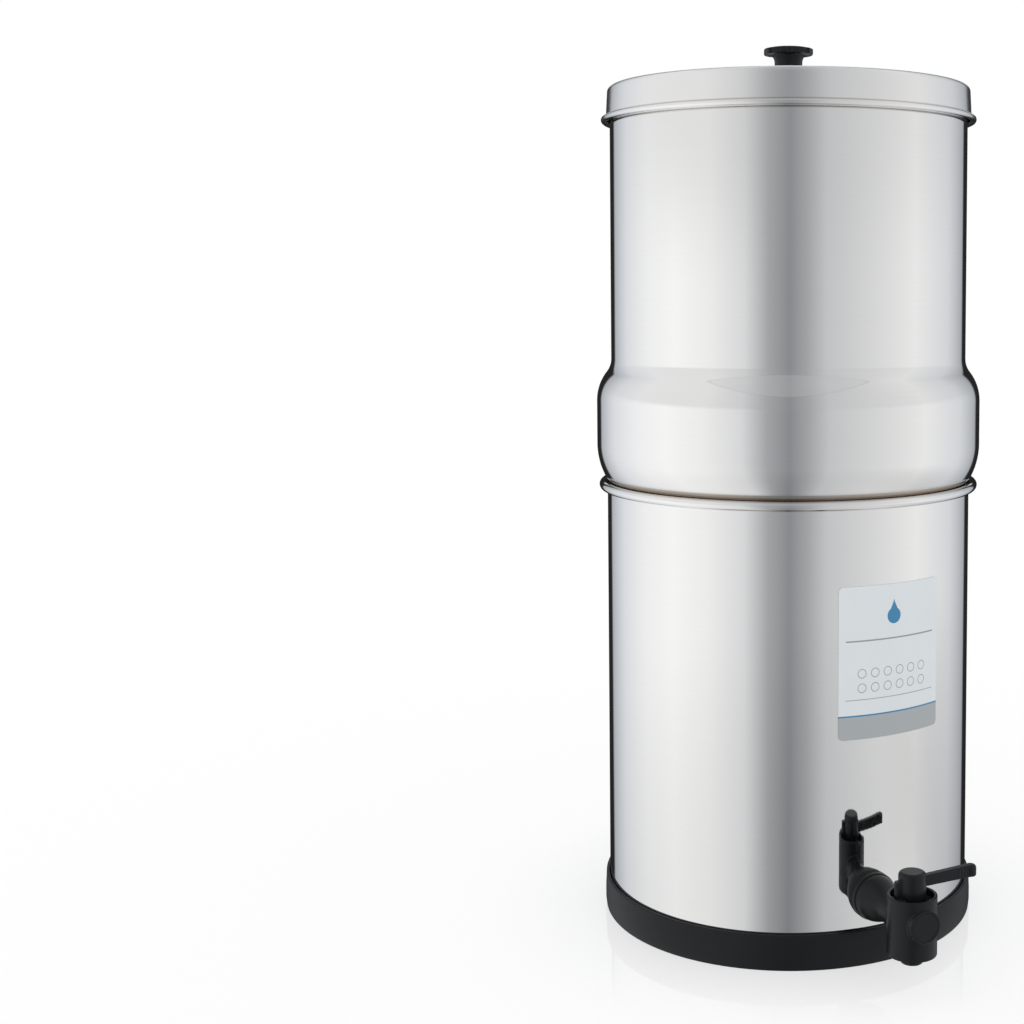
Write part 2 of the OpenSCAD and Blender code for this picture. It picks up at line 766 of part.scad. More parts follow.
module blanking_nuts() {
    color(mount_white) for (turn = blank_turns)
        at_hole(turn) translate([0, 0, upper_floor_z - blank_nut_t])
            hex_nut(blank_nut_af, stem_d, blank_nut_t);
}

// ---------- lid ----------

// Flat cap with a rounded corner and a skirt that spreads down to a rolled edge
function lid_outline(i) = concat(
    [[0, lid_top_z - i]],
    arc([lid_r - lid_round, lid_top_z - lid_round], lid_round - i, 90, 0),
    [[lid_r + lid_draft - i, lid_bead_z]]);

module lid() {
    color(steel) difference() {
        union() {
            turned_sheet(lid_outline(0), lid_outline(sheet_t));
            bead(lid_inner_r + lid_draft + lid_bead_r, lid_bead_r, lid_bead_z);
        }
        translate([0, 0, lid_under_z - past]) cylinder(d = knob_hole_d, h = sheet_t + 2 * past);
    }
}

// Stem, hollow flare, and a thin disc with a scalloped edge and a low crown
module lid_knob() {
    r = knob_d / 2;
    stem_r = knob_stem_d / 2;
    flare_r = stem_r + knob_stem_swell;
    edge_z = knob_h - knob_crown_h - knob_edge_h;
    color(black) translate([0, 0, lid_top_z]) difference() {
        rotate_extrude() polygon(concat(
            [[0, 0], [stem_r, 0], [flare_r, edge_z - knob_flare_h]],
            [for (k = [1:quarter_steps]) let (a = 90 * k / quarter_steps)
                [flare_r + (knob_flare_d / 2 - flare_r) * (1 - cos(a)),
                 edge_z - knob_flare_h * (1 - sin(a))]],
            arc([r - knob_edge_round, edge_z + knob_edge_round], knob_edge_round, -90, 0, 3),
            arc([r - knob_edge_round, edge_z + knob_edge_h - knob_edge_round], knob_edge_round, 0, 90, 3),
            [[knob_crown_share * r, knob_h], [0, knob_h]]));
        for (i = [0:knob_lobes - 1]) rotate((i + 0.5) * 360 / knob_lobes)
            translate([r + knob_scallop, 0, edge_z - past])
                cylinder(d = scallop_d, h = knob_h, $fn = 36);
        translate([0, 0, -past]) cylinder(d = knob_screw_d, h = knob_core_l + past);
    }
}

module knob_washer() {
    color(steel) translate([0, 0, lid_under_z - knob_washer_t])
        tube(knob_washer_d, knob_screw_d, knob_washer_t);
}

// Pan-head screw with a hexagon socket, driven up into the knob
module knob_screw() {
    head_z = lid_under_z - knob_washer_t;
    color(steel) difference() {
        union() {
            translate([0, 0, head_z]) cylinder(d = knob_screw_d, h = knob_screw_l);
            translate([0, 0, head_z - screw_head_h]) cylinder(d = screw_head_d, h = screw_head_h);
        }
        translate([0, 0, head_z - screw_head_h - past])
            cylinder(d = screw_socket_d, h = screw_socket_h + past, $fn = 6);
    }
}

base_ring();
lower_chamber();
label();
tap_body();
tap_retainer();
tap_badge();
tap_outer_washer();
tap_inner_washer();
tap_lock_nut();
tap_plug();
tap_o_rings();
tap_handle();
upper_chamber();
candle_shell(candle_turns[0]);  // candle_1_shell
candle_core(candle_turns[0]);  // candle_1_core
candle_mount(candle_turns[0]);  // candle_1_mount
candle_washer(candle_turns[0]);  // candle_1_washer
candle_wing_nut(candle_turns[0]);  // candle_1_wing_nut
candle_shell(candle_turns[1]);  // candle_2_shell
candle_core(candle_turns[1]);  // candle_2_core
candle_mount(candle_turns[1]);  // candle_2_mount
candle_washer(candle_turns[1]);  // candle_2_washer
candle_wing_nut(candle_turns[1]);  // candle_2_wing_nut
blanking_plugs();
blanking_washers();
blanking_nuts();
lid();
lid_knob();
knob_washer();
knob_screw();
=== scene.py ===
"""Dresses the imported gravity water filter: spun steel, moulded tap and knob, label, threads and stage."""

import math

import bmesh
import bpy
from mathutils import Matrix, Vector


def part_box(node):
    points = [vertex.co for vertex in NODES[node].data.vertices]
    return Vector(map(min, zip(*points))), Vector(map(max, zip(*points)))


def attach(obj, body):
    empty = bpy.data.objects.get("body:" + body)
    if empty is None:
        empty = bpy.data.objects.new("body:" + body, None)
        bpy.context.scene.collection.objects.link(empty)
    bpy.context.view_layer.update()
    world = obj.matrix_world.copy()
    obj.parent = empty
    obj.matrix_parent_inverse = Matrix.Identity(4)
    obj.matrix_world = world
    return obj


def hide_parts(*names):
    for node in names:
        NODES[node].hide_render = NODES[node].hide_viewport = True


bl_info = {
    "name": "Gravity Water Filter Dresser",
    "version": (1, 0, 0),
    "blender": (4, 5, 0),
    "location": "View3D > Sidebar > Water Filter",
    "description": "Builds the finishes and fine pieces of a two-chamber gravity water filter",
    "category": "Object",
}

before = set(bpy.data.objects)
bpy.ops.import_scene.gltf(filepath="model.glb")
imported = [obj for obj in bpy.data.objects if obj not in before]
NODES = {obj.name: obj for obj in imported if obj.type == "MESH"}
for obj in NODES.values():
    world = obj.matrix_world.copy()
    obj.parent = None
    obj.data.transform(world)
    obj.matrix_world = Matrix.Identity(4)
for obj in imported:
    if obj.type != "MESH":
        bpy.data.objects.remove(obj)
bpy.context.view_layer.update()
MM = 0.001
ROUND = 2 * math.pi
UPWARDS = (0, 0, 1)
WHITE = (1, 1, 1, 1)
BLACK = (0, 0, 0, 1)
# Points closer than this are one point, and edges sharper than this, in degrees, stay sharp
SAME_POINT = 0.5e-6
SHARP_EDGE = 32
# How finely the mouldings, arcs, drills, threads and label are divided
MOULDING_SEGMENTS = 240
BEAD_STEPS = 28
LONG_ARC_STEPS = 20
FLARE_STEPS = 12
DRILL_SEGMENTS = 64
THREAD_STEPS = 40
LABEL_CORNER_STEPS = 6
LABEL_FLAT_STEPS = 20
LABEL_ROWS = 8
# Height of a thread's ridge as a share of its pitch
THREAD_RIDGE = 0.32
# How softly the knob's scallops run into its lobes
SCALLOP_BLEND = 0.4 * MM
# Bevel on the base ring's lip and ledge
RING_BEVEL = 0.4 * MM
# The knob's crown, as shares of its radius and of how far it has still to rise
CROWN = ((0.8, 0.4), (0.62, 0.08), (0.5, 0), (0, 0))
# How much closer together polishing marks lie across the turning direction than along it
MARK_SQUEEZE = 60
# How far the drills for the tap's hole and the stem holes reach
TAP_DRILL = 40 * MM
STEM_DRILL = 10 * MM
# Bearings of the four holes in the upper floor: two for the candles, then two for the plugs
CANDLE_HOLES = (45, 225)
PLUG_HOLES = (135, 315)
# The print's low rule under the rings, from and to, and how far the drop hangs under the middle, in mm
LOW_RULE = (2.4, 2)
DROP_DOWN = 2.5
# Height of the drop's tip over its belly's middle, in radii, and how hollow its sides are
DROP_TIP = 2.1
DROP_TAPER = 1.25

RING_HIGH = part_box("base_ring")[1]
LOWER_LOW, LOWER_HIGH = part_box("lower_chamber")
UPPER_LOW, UPPER_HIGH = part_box("upper_chamber")
LID_LOW, LID_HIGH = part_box("lid")
KNOB_LOW, KNOB_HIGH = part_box("lid_knob")
LABEL_LOW, LABEL_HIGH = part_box("label")
BODY_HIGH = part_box("tap_body")[1]


# ---------------------------------------------------------------- sizes and colours

def length(name, description, default):
    """A size in metres that the sidebar shows with its unit."""
    return bpy.props.FloatProperty(name=name, description=description, default=default,
                                   subtype="DISTANCE", unit="LENGTH", precision=5)


def colour(name, description, default):
    """A colour without alpha."""
    return bpy.props.FloatVectorProperty(name=name, description=description, default=default,
                                         subtype="COLOR", size=3, min=0, max=1)


def share(name, description, default):
    """A number from 0 to 1."""
    return bpy.props.FloatProperty(name=name, description=description, default=default,
                                   subtype="FACTOR", min=0, max=1)


def angle(name, description, default):
    """An angle in degrees."""
    return bpy.props.FloatProperty(name=name, description=description, default=default, precision=2)


def count(name, description, default):
    """A whole number."""
    return bpy.props.IntProperty(name=name, description=description, default=default, min=1)


class SteelSettings(bpy.types.PropertyGroup):
    """Sheet steel of the two chambers and the lid."""

    sheet: length("Sheet", "Thickness of the steel sheet", 0.8 * MM)
    corner: length("Floor corner", "Outside radius between wall and floor", 8 * MM)
    rim_bead: length("Rim bead", "Radius of the lower chamber's rolled rim", 2.7 * MM)
    nest_depth: length("Nest depth", "Depth of the upper chamber's skirt below the swell", 31 * MM)
    swell_out: length("Swell", "How far the swell stands out from the wall", 8.1 * MM)
    toe: length("Toe", "Radius of the hollow where the wall turns out into the foot", 8 * MM)
    foot: length("Foot", "Radius of the swell's round foot", 40 * MM)
    band: length("Band", "Height of the swell's straight band", 24 * MM)
    shoulder: length("Shoulder", "Radius of the round shoulder above the band", 26 * MM)
    neck: length("Neck", "Radius of the hollow where the shoulder turns up into the wall", 12 * MM)
    hem: length("Hem", "Radius of the hem rolled inwards at the upper rim", 1.6 * MM)
    lid_bead: length("Lid bead", "Radius of the bead at the lid's edge", 1.8 * MM)
    lid_corner: length("Lid corner", "Outside radius of the lid's top corner", 3 * MM)
    lid_draft: length("Lid draft", "How far the lid's skirt spreads downwards", 0.7 * MM)
    lid_hole: length("Lid hole", "Radius of the hole for the knob's screw", 2.8 * MM)
    tap_hole: length("Tap hole", "Radius of the hole for the tap's shank", 8.1 * MM)
    stem_hole: length("Stem hole", "Radius of the four holes in the upper floor", 6.3 * MM)
    stem_circle: length("Hole circle", "Radius of the circle on which those holes lie", 50 * MM)
    segments: count("Segments", "Faces round a chamber", 288)
    tint: colour("Steel", "Colour of the polished sheet", (0.87, 0.865, 0.86))
    roughness: share("Roughness", "Roughness of the polish", 0.04)
    lid_roughness: share("Lid roughness", "Roughness of the lid's softer polish", 0.17)
    grain: share("Grain", "How much the polishing marks show", 0.25)
    # This colour is painted shade: it darkens the steel in bands where the parts meet and where the sheet
    # folds
    seam_shade: colour("Fold", "Tone of folds that the polishing wheel doesn't reach", (0.56, 0.50, 0.44))


class MouldingSettings(bpy.types.PropertyGroup):
    """Base ring, knob and tap."""

    ring_wall: length("Ring wall", "Thickness of the base ring's wall", 2.2 * MM)
    ring_ledge: length("Ring ledge", "Thickness of the ledge under the chamber", 4 * MM)
    ring_hole: length("Ring hole", "Radius of the opening inside the ledge", 88 * MM)
    ring_edge: length("Ring edge", "Rounding of the ring's edges", 0.8 * MM)
    ring_taper: length("Ring taper", "Draft of the ring's wall", 0.4 * MM)
    edge_round: length("Edge rounding", "Rounding of the tap's moulded edges", 0.35 * MM)
    knob_stem: length("Knob stem", "Radius of the knob's stem", 7.5 * MM)
    knob_swell: length("Stem swell", "How much wider the stem is at its upper end", 0.3 * MM)
    knob_edge: length("Knob edge", "Height of the knob's scalloped edge", 3.2 * MM)
    knob_round: length("Edge round", "Rounding of the scalloped edge", 0.6 * MM)
    knob_crown: length("Knob crown", "Rise of the crown above the edge", 0.8 * MM)
    knob_flare: length("Knob flare", "Height of the flare under the edge", 4.5 * MM)
    knob_flare_end: length("Flare end", "Radius of the flare under the edge", 10.8 * MM)
    knob_lobes: count("Lobes", "Number of lobes round the knob", 8)
    knob_scallop: length("Scallop", "Depth of the scallop between two lobes", 1.3 * MM)
    shank: length("Shank", "Radius of the tap's threaded shank", 7.8 * MM)
    melt: count("Melt", "How many times the tap's edges are smoothed", 5)
    gloss: share("Gloss", "Specular level of the black plastics", 0.22)
    plastic: colour("Plastic", "Colour of the tap and knob", (0.0085, 0.0095, 0.011))
    rubber: colour("Rubber", "Colour of the base ring", (0.0085, 0.0095, 0.011))


class LabelSettings(bpy.types.PropertyGroup):
    """Sticker on the lower chamber, with a plain print."""

    width: length("Width", "Width of the label along the wall", 64 * MM)
    corner: length("Corner", "Radius of the label's corners", 2.5 * MM)
    glue: length("Glue", "Thickness of the glue under the film", 0.1 * MM)
    thickness: length("Film thickness", "Thickness of the film", 0.2 * MM)
    bearing: angle("Bearing", "Where the label's middle lies, from the tap towards +X", 7.2)
    margin: length("Margin", "Free edge beside the rules", 4 * MM)
    rule: length("Rule", "Height of the long rule on the label", 51.5 * MM)
    line: length("Line", "Thickness of the printed lines", 0.4 * MM)
    drop: length("Drop", "Radius of the printed drop's belly", 4.2 * MM)
    mark: length("Mark", "Radius of the small rings", 2.3 * MM)
    mark_pitch: length("Mark pitch", "Distance between the rings' centres", 7.6 * MM)
    mark_columns: count("Marks in a row", "How many rings lie side by side", 6)
    marks_low: length("Marks' foot", "Height of the lower edge of the rows of rings", 23 * MM)
    band_height: length("Foot band", "Height of the coloured band at the foot", 12 * MM)
    film: colour("Film", "Colour of the label", (0.72, 0.765, 0.79))
    ink: colour("Ink", "Colour of the rules and rings", (0.30, 0.32, 0.33))
    band: colour("Band", "Colour of the foot band", (0.385, 0.412, 0.43))
    accent: colour("Accent", "Colour of the drop and the line over the band", (0.04, 0.22, 0.42))


class FittingSettings(bpy.types.PropertyGroup):
    """Candles, plugs, seals and screws."""

    shank_pitch: length("Shank pitch", "Pitch of the tap shank's thread", 1.8 * MM)
    stem_pitch: length("Stem pitch", "Pitch of the candle stems' thread", 1.75 * MM)
    stem: length("Stem", "Radius of the candle and plug stems", 6 * MM)
    ceramic: colour("Ceramic", "Colour of the candles", (0.78, 0.74, 0.66))
    carbon: colour("Carbon", "Colour of the cores", (0.02, 0.02, 0.02))
    mount: colour("Mount", "Colour of the mounts, nuts and plugs", (0.76, 0.78, 0.79))
    silicone: colour("Silicone", "Colour of the candle seals", (0.34, 0.37, 0.40))
    seal: colour("Seal", "Colour of the tap's rubber seals", (0.011, 0.011, 0.012))
    screw: colour("Screw", "Colour of the knob's screw", (0.55, 0.55, 0.56))


class StageSettings(bpy.types.PropertyGroup):
    """Floor, studio and camera."""

    floor_radius: length("Floor", "Radius of the pale floor", 3.0)
    floor: colour("Floor colour", "Colour of the pale floor", (0.95, 0.95, 0.95))
    mirror: share("Mirror", "How much the floor mirrors at the ring", 0.13)
    mirror_reach: length("Mirror reach", "Distance over which the mirror fades", 75 * MM)
    shadow: share("Shadow", "How much of the floor's shading shows", 0.30)
    ambient: share("Ambient", "Light on matt surfaces", 0.95)


SETTINGS = {
    "filter_steel": SteelSettings,
    "filter_moulding": MouldingSettings,
    "filter_label": LabelSettings,
    "filter_fitting": FittingSettings,
    "filter_stage": StageSettings,
}


# ---------------------------------------------------------------- node wiring

def add(tree, kind, values=None, **settings):
    """Adds a node, makes its settings, and fills or links its inputs."""
    made = tree.nodes.new(kind)
    for name, value in settings.items():
        setattr(made, name, value)
    for key, value in (values or {}).items():
        feed(tree, made.inputs[key], value)
    return made


def feed(tree, socket, value):
    """Links a socket to an input, or sets the input's own number."""
    if isinstance(value, bpy.types.NodeSocket):
        tree.links.new(value, socket)
    else:
        socket.default_value = value


def calc(tree, operation, *values):
    """The result of a Math node."""
    made = add(tree, "ShaderNodeMath", operation=operation)
    for socket, value in zip(made.inputs, values):
        feed(tree, socket, value)
    return made.outputs[0]


def mixed(tree, amount, first, second, blend="MIX"):
    """The first colour where the amount is 0, and the second, or the two blended, where it is 1."""
    mix = add(tree, "ShaderNodeMix", {"Factor": amount}, data_type="RGBA", blend_type=blend)
    feed(tree, mix.inputs[6], first)
    feed(tree, mix.inputs[7], second)
    return mix.outputs[2]


def smooth_step(tree, value, start, end, low=0, high=1):
    """A smooth run from the low number at the start to the high one at the end."""
    return add(tree, "ShaderNodeMapRange", {
        "Value": value, "From Min": start, "From Max": end, "To Min": low, "To Max": high},
        interpolation_type="SMOOTHSTEP").outputs["Result"]


def apart(tree, vector):
    """The X, Y and Z sockets of a vector."""
    return add(tree, "ShaderNodeSeparateXYZ", {0: vector}).outputs


def new_group(name, **inputs):
    """An empty geometry tree with named inputs, a material's among them, and one geometry output."""
    tree = bpy.data.node_groups.new(name, "GeometryNodeTree")
    for label, kind in {"Geometry": "Geometry", **inputs, "Material": "Material"}.items():
        tree.interface.new_socket(label.replace("_", " "), in_out="INPUT", socket_type=f"NodeSocket{kind}")
    tree.interface.new_socket("Geometry", in_out="OUTPUT", socket_type="NodeSocketGeometry")
    return tree, tree.nodes.new("NodeGroupInput").outputs, tree.nodes.new("NodeGroupOutput").inputs


def finish_group(tree, result, material, output):
    """Realizes what the tree made and gives it its material."""
    solid = add(tree, "GeometryNodeRealizeInstances", {"Geometry": result})
    painted = add(tree, "GeometryNodeSetMaterial", {"Geometry": solid.outputs[0], "Material": material})
    tree.links.new(painted.outputs[0], output["Geometry"])


def new_object(name, data):
    """A new object at the origin of the scene."""
    made = bpy.data.objects.new(name, data)
    bpy.context.scene.collection.objects.link(made)
    return made


def bake(piece):
    """Turns a piece and its modifiers into a plain mesh."""
    evaluated = piece.evaluated_get(bpy.context.evaluated_depsgraph_get())
    baked = bpy.data.meshes.new_from_object(evaluated)
    piece.modifiers.clear()
    piece.data = baked


def grow(name, tree, inputs, points):
    """Runs a geometry tree on a line of points and returns the plain mesh as a new object."""
    mesh = bpy.data.meshes.new(name)
    mesh.from_pydata(points, [(i, i + 1) for i in range(len(points) - 1)], [])
    made = new_object(name, mesh)
    modifier = made.modifiers.new(tree.name, "NODES")
    modifier.node_group = tree
    for item in tree.interface.items_tree:
        if item.in_out == "INPUT" and item.name in inputs:
            modifier[item.identifier] = inputs[item.name]
    bake(made)
    if not made.data.polygons:
        raise RuntimeError(f"{name}: the tree made no faces")
    return made


def mend(mesh, merge=0, outwards=True):
    """Merges points closer than a distance and turns the faces outwards."""
    work = bmesh.new()
    work.from_mesh(mesh)
    if merge:
        bmesh.ops.remove_doubles(work, verts=work.verts, dist=merge)
    if outwards:
        bmesh.ops.recalc_face_normals(work, faces=work.faces)
    work.to_mesh(mesh)
    work.free()


def shade_mesh(mesh):
    """Smooth shading that keeps the true edges sharp."""
    mesh.shade_smooth()
    mesh.set_sharp_from_angle(angle=math.radians(SHARP_EDGE))


def turn_to(axis):
    """The matrix that turns the Z axis to another."""
    return Vector(UPWARDS).rotation_difference(Vector(axis)).to_matrix().to_4x4()


def round_spot(radius, degrees, height):
    """The point at a bearing round the Z axis."""
    turn = math.radians(degrees)
    return radius * math.cos(turn), radius * math.sin(turn), height


def middle_height(node):
    """The height of a node's middle."""
    low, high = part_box(node)
    return (low.z + high.z) / 2


def lower_wall():
    """The outside radius of the lower chamber's wall."""
    steel = bpy.context.scene.filter_steel
    return LOWER_HIGH.x - 2 * steel.rim_bead + steel.sheet


def settle(piece, body, slot, *replaced):
    """Gives a finished piece its body and hides the nodes that it stands for. The slot is not used."""
    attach(piece, body)
    if replaced:
        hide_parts(*replaced)


def paint_nodes(material, *names):
    """Puts a material into every slot of these CAD nodes."""
    for name in names:
        for place in NODES[name].material_slots:
            place.material = material


# ---------------------------------------------------------------- geometry trees

def spun_tree():
    """Turns a closed profile of (radius, 0, height) points about the Z axis."""
    tree, given, output = new_group("Spun Profile", Segments="Int", Lobes="Int", Scallop="Float",
                                    Scallop_Radius="Float", Scallop_Floor="Float")
    size = add(tree, "GeometryNodeAttributeDomainSize", {"Geometry": given["Geometry"]})
    points = size.outputs["Point Count"]
    rows = calc(tree, "ADD", points, 1)
    columns = calc(tree, "ADD", given["Segments"], 1)
    grid = add(tree, "GeometryNodeMeshGrid",
               {"Size X": 1, "Size Y": 1, "Vertices X": rows, "Vertices Y": columns})
    position = add(tree, "GeometryNodeInputPosition").outputs[0]
    across, up, _ = apart(tree, position)
    along = calc(tree, "ROUND", calc(tree, "MULTIPLY", calc(tree, "ADD", across, 0.5), points))
    index = calc(tree, "FLOORED_MODULO", along, points)
    turn = calc(tree, "MULTIPLY", calc(tree, "ADD", up, 0.5), ROUND)
    sampled = add(tree, "GeometryNodeSampleIndex", data_type="FLOAT_VECTOR", domain="POINT")
    for key, value in (("Geometry", given["Geometry"]), ("Value", position), ("Index", index)):
        feed(tree, sampled.inputs[key], value)
    profile_radius, _, height = apart(tree, sampled.outputs["Value"])
    radius = scalloped_radius(tree, given, profile_radius, height, turn)
    moved = add(tree, "ShaderNodeCombineXYZ", {
        "X": calc(tree, "MULTIPLY", radius, calc(tree, "COSINE", turn)),
        "Y": calc(tree, "MULTIPLY", radius, calc(tree, "SINE", turn)), "Z": height})
    turned = add(tree, "GeometryNodeSetPosition",
                 {"Geometry": grid.outputs["Mesh"], "Position": moved.outputs[0]})
    merged = add(tree, "GeometryNodeMergeByDistance",
                 {"Geometry": turned.outputs[0], "Distance": SAME_POINT})
    finish_group(tree, merged.outputs[0], given["Material"], output)
    return tree


def scalloped_radius(tree, given, radius, height, turn):
    """The profile's radius, cut back above Scallop Floor by round scallops between the lobes."""
    pitch = calc(tree, "DIVIDE", ROUND, given["Lobes"])
    off = calc(tree, "SUBTRACT", calc(tree, "FLOORED_MODULO", turn, pitch),
               calc(tree, "MULTIPLY", pitch, 0.5))
    centre = calc(tree, "ADD", given["Scallop Radius"], given["Scallop"])
    cutter = calc(tree, "MULTIPLY", given["Scallop"], 2)
    side = calc(tree, "MULTIPLY", centre, calc(tree, "SINE", off))
    reach = calc(tree, "SUBTRACT", calc(tree, "MULTIPLY", cutter, cutter),
                 calc(tree, "MULTIPLY", side, side))
    inside = calc(tree, "GREATER_THAN", reach, 0)
    cut = calc(tree, "SUBTRACT", calc(tree, "MULTIPLY", centre, calc(tree, "COSINE", off)),
               calc(tree, "SQRT", calc(tree, "MAXIMUM", reach, 0)))
    high = calc(tree, "GREATER_THAN", height, given["Scallop Floor"])
    active = calc(tree, "MULTIPLY", inside, high)
    limit = calc(tree, "ADD", calc(tree, "MULTIPLY", cut, active), calc(tree, "SUBTRACT", 1, active))
    return calc(tree, "SMOOTH_MIN", radius, limit, SCALLOP_BLEND)


def thread_tree():
    """A right-hand thread on every point of the geometry, climbing from it along Z."""
    tree, given, output = new_group("Screw Thread", Radius="Float", Pitch="Float", Length="Float",
                                    Ridge="Float", Steps="Int")
    helix = add(tree, "GeometryNodeCurveSpiral", {
        "Resolution": given["Steps"], "Rotations": calc(tree, "DIVIDE", given["Length"], given["Pitch"]),
        "Start Radius": given["Radius"], "End Radius": given["Radius"], "Height": given["Length"],
        "Reverse": True})
    upright = add(tree, "GeometryNodeSetCurveNormal", {"Curve": helix.outputs[0]}, mode="Z_UP")
    section = add(tree, "GeometryNodeCurvePrimitiveCircle", {"Resolution": 4, "Radius": given["Ridge"]})
    ridge = add(tree, "GeometryNodeCurveToMesh", {
        "Curve": upright.outputs[0], "Profile Curve": section.outputs[0], "Fill Caps": True})
    placed = add(tree, "GeometryNodeInstanceOnPoints",
                 {"Points": given["Geometry"], "Instance": ridge.outputs[0]})
    finish_group(tree, placed.outputs[0], given["Material"], output)
    return tree


# ---------------------------------------------------------------- materials

def new_material(name):
    """A material with one Principled shader."""
    material = bpy.data.materials.new(name)
    material.use_nodes = True
    tree = material.node_tree
    tree.nodes.clear()
    shader = tree.nodes.new("ShaderNodeBsdfPrincipled")
    output = tree.nodes.new("ShaderNodeOutputMaterial")
    tree.links.new(shader.outputs["BSDF"], output.inputs["Surface"])
    return material, tree, shader


def noise(tree, vector, scale, detail=2.0, roughness=0.5):
    """The grey value of a noise texture."""
    return add(tree, "ShaderNodeTexNoise", {
        "Vector": vector, "Scale": scale, "Detail": detail, "Roughness": roughness}).outputs["Fac"]


def between(tree, amount, low, high):
    """A number from low to high as the amount goes from 0 to 1."""
    return add(tree, "ShaderNodeMapRange",
               {"Value": amount, "To Min": low, "To Max": high}).outputs["Result"]


def shade(tint, factor):
    """A colour with alpha, made lighter or darker."""
    return (*(min(1.0, part * factor) for part in tint), 1)


def two_tone(tree, amount, tint, low, high):
    """A colour that runs from low to high times the tint."""
    return mixed(tree, amount, shade(tint, low), shade(tint, high))


def dress(tree, shader, colours, roughness, relief, strength, depth, **more):
    """Wires a colour, a roughness and a relief, whose depth is in metres, into the shader."""
    bump = add(tree, "ShaderNodeBump", {"Strength": strength, "Distance": depth, "Height": relief, **more})
    for name, value in (("Base Color", colours), ("Roughness", roughness), ("Normal", bump.outputs[0])):
        feed(tree, shader.inputs[name], value)


def object_place(tree):
    """The point on the piece, in metres."""
    return add(tree, "ShaderNodeTexCoord").outputs["Object"]


def spun_place(tree):
    """Coordinates in which noise runs in rings round the Z axis, on walls and floors alike."""
    x, y, z = apart(tree, object_place(tree))
    rings = calc(tree, "MULTIPLY", calc(tree, "ADD", z, distance(tree, x, y, 0, 0)), MARK_SQUEEZE)
    return add(tree, "ShaderNodeCombineXYZ", {"X": x, "Y": y, "Z": rings}).outputs[0]


def polished_steel(name, settings, roughness, shaded_folds):
    """Mirror-polished sheet with faint polishing marks round it, darkened by painted shade in bands at its
    folds and seams.

    Each band of painted shade is the height of its middle, how far it reaches up and down, and how dark it
    gets.
    """
    material, tree, shader = new_material(name)
    marks = noise(tree, spun_place(tree), 26, 3, 0.6)
    cloud = noise(tree, object_place(tree), 9, 2)
    amount = calc(tree, "ADD", calc(tree, "MULTIPLY", marks, 0.7), calc(tree, "MULTIPLY", cloud, 0.3))
    colours = two_tone(tree, amount, settings.tint, 0.975, 1.025)
    _, _, height = apart(tree, object_place(tree))
    # Painted shade: each band darkens the steel's colour towards its middle
    for middle, reach, most in shaded_folds:
        off = calc(tree, "ABSOLUTE", calc(tree, "SUBTRACT", height, middle))
        nearness = add(tree, "ShaderNodeMapRange", {
            "Value": off, "From Min": reach, "From Max": 0, "To Max": most}).outputs["Result"]
        colours = mixed(tree, nearness, colours, shade(settings.seam_shade, 1), "MULTIPLY")
    polish = between(tree, amount, roughness * (1 - settings.grain), roughness * (1 + settings.grain))
    dress(tree, shader, colours, polish, marks, 0.04, 0.02 * MM)
    shader.inputs["Metallic"].default_value = 1
    return material


def moulded(name, tint, roughness, edge, texture=0.12, scale=900, gloss=0.5):
    """Moulded plastic or rubber: a fine eroded skin and softened edges."""
    material, tree, shader = new_material(name)
    shader.inputs["Specular IOR Level"].default_value = gloss
    place = object_place(tree)
    skin = noise(tree, place, scale, 2, 0.6)
    wear = noise(tree, place, 35, 4, 0.6)
    soft = add(tree, "ShaderNodeBevel", {"Radius": edge}, samples=4)
    dress(tree, shader, two_tone(tree, wear, tint, 0.8, 1.25),
          between(tree, wear, roughness * 0.85, roughness * 1.15), skin, texture, 0.05 * MM,
          Normal=soft.outputs[0])
    return material


def porous_ceramic(tint):
    """Matt ceramic with pores and a few faint stains."""
    material, tree, shader = new_material("Candle Ceramic")
    place = object_place(tree)
    pores = noise(tree, place, 1400, 3, 0.7)
    stain = noise(tree, place, 40, 5, 0.65)
    dress(tree, shader, two_tone(tree, stain, tint, 0.9, 1.06), between(tree, pores, 0.8, 0.95),
          pores, 0.5, 0.12 * MM)
    return material


def turned_metal(tint):
    """Bright turned steel of the screw and its washer."""
    material, tree, shader = new_material("Screw Steel")
    rings = noise(tree, spun_place(tree), 90, 2)
    dress(tree, shader, two_tone(tree, rings, tint, 0.9, 1.1), between(tree, rings, 0.2, 0.36),
          rings, 0.15, 0.02 * MM)
    shader.inputs["Metallic"].default_value = 1
    return material


# ---------------------------------------------------------------- profiles

def arc(centre, radius, start, end, steps=10):
    """Points of an arc in the profile plane, with angles in degrees."""
    found = []
    for i in range(steps + 1):
        turn = math.radians(start + (end - start) * i / steps)
        found.append((centre[0] + radius * math.cos(turn), centre[1] + radius * math.sin(turn)))
    return found


def lower_profile(settings):
    """Closed outline of the lower chamber's sheet and its rolled rim."""
    bead = settings.rim_bead
    inner = LOWER_HIGH.x - 2 * bead
    wall = inner + settings.sheet
    floor = LOWER_LOW.z
    centre = (wall - settings.corner, floor + settings.corner)
    across = wall - inner - bead
    start = math.degrees(math.atan2(-math.sqrt(bead ** 2 - across ** 2), across))
    outside = [(0, floor)] + arc(centre, settings.corner, -90, 0)
    curl = arc((inner + bead, LOWER_HIGH.z - bead), bead, start, 180, BEAD_STEPS)
    inside = arc(centre, settings.corner - settings.sheet, 0, -90)
    return outside + curl + inside + [(0, floor + settings.sheet)]


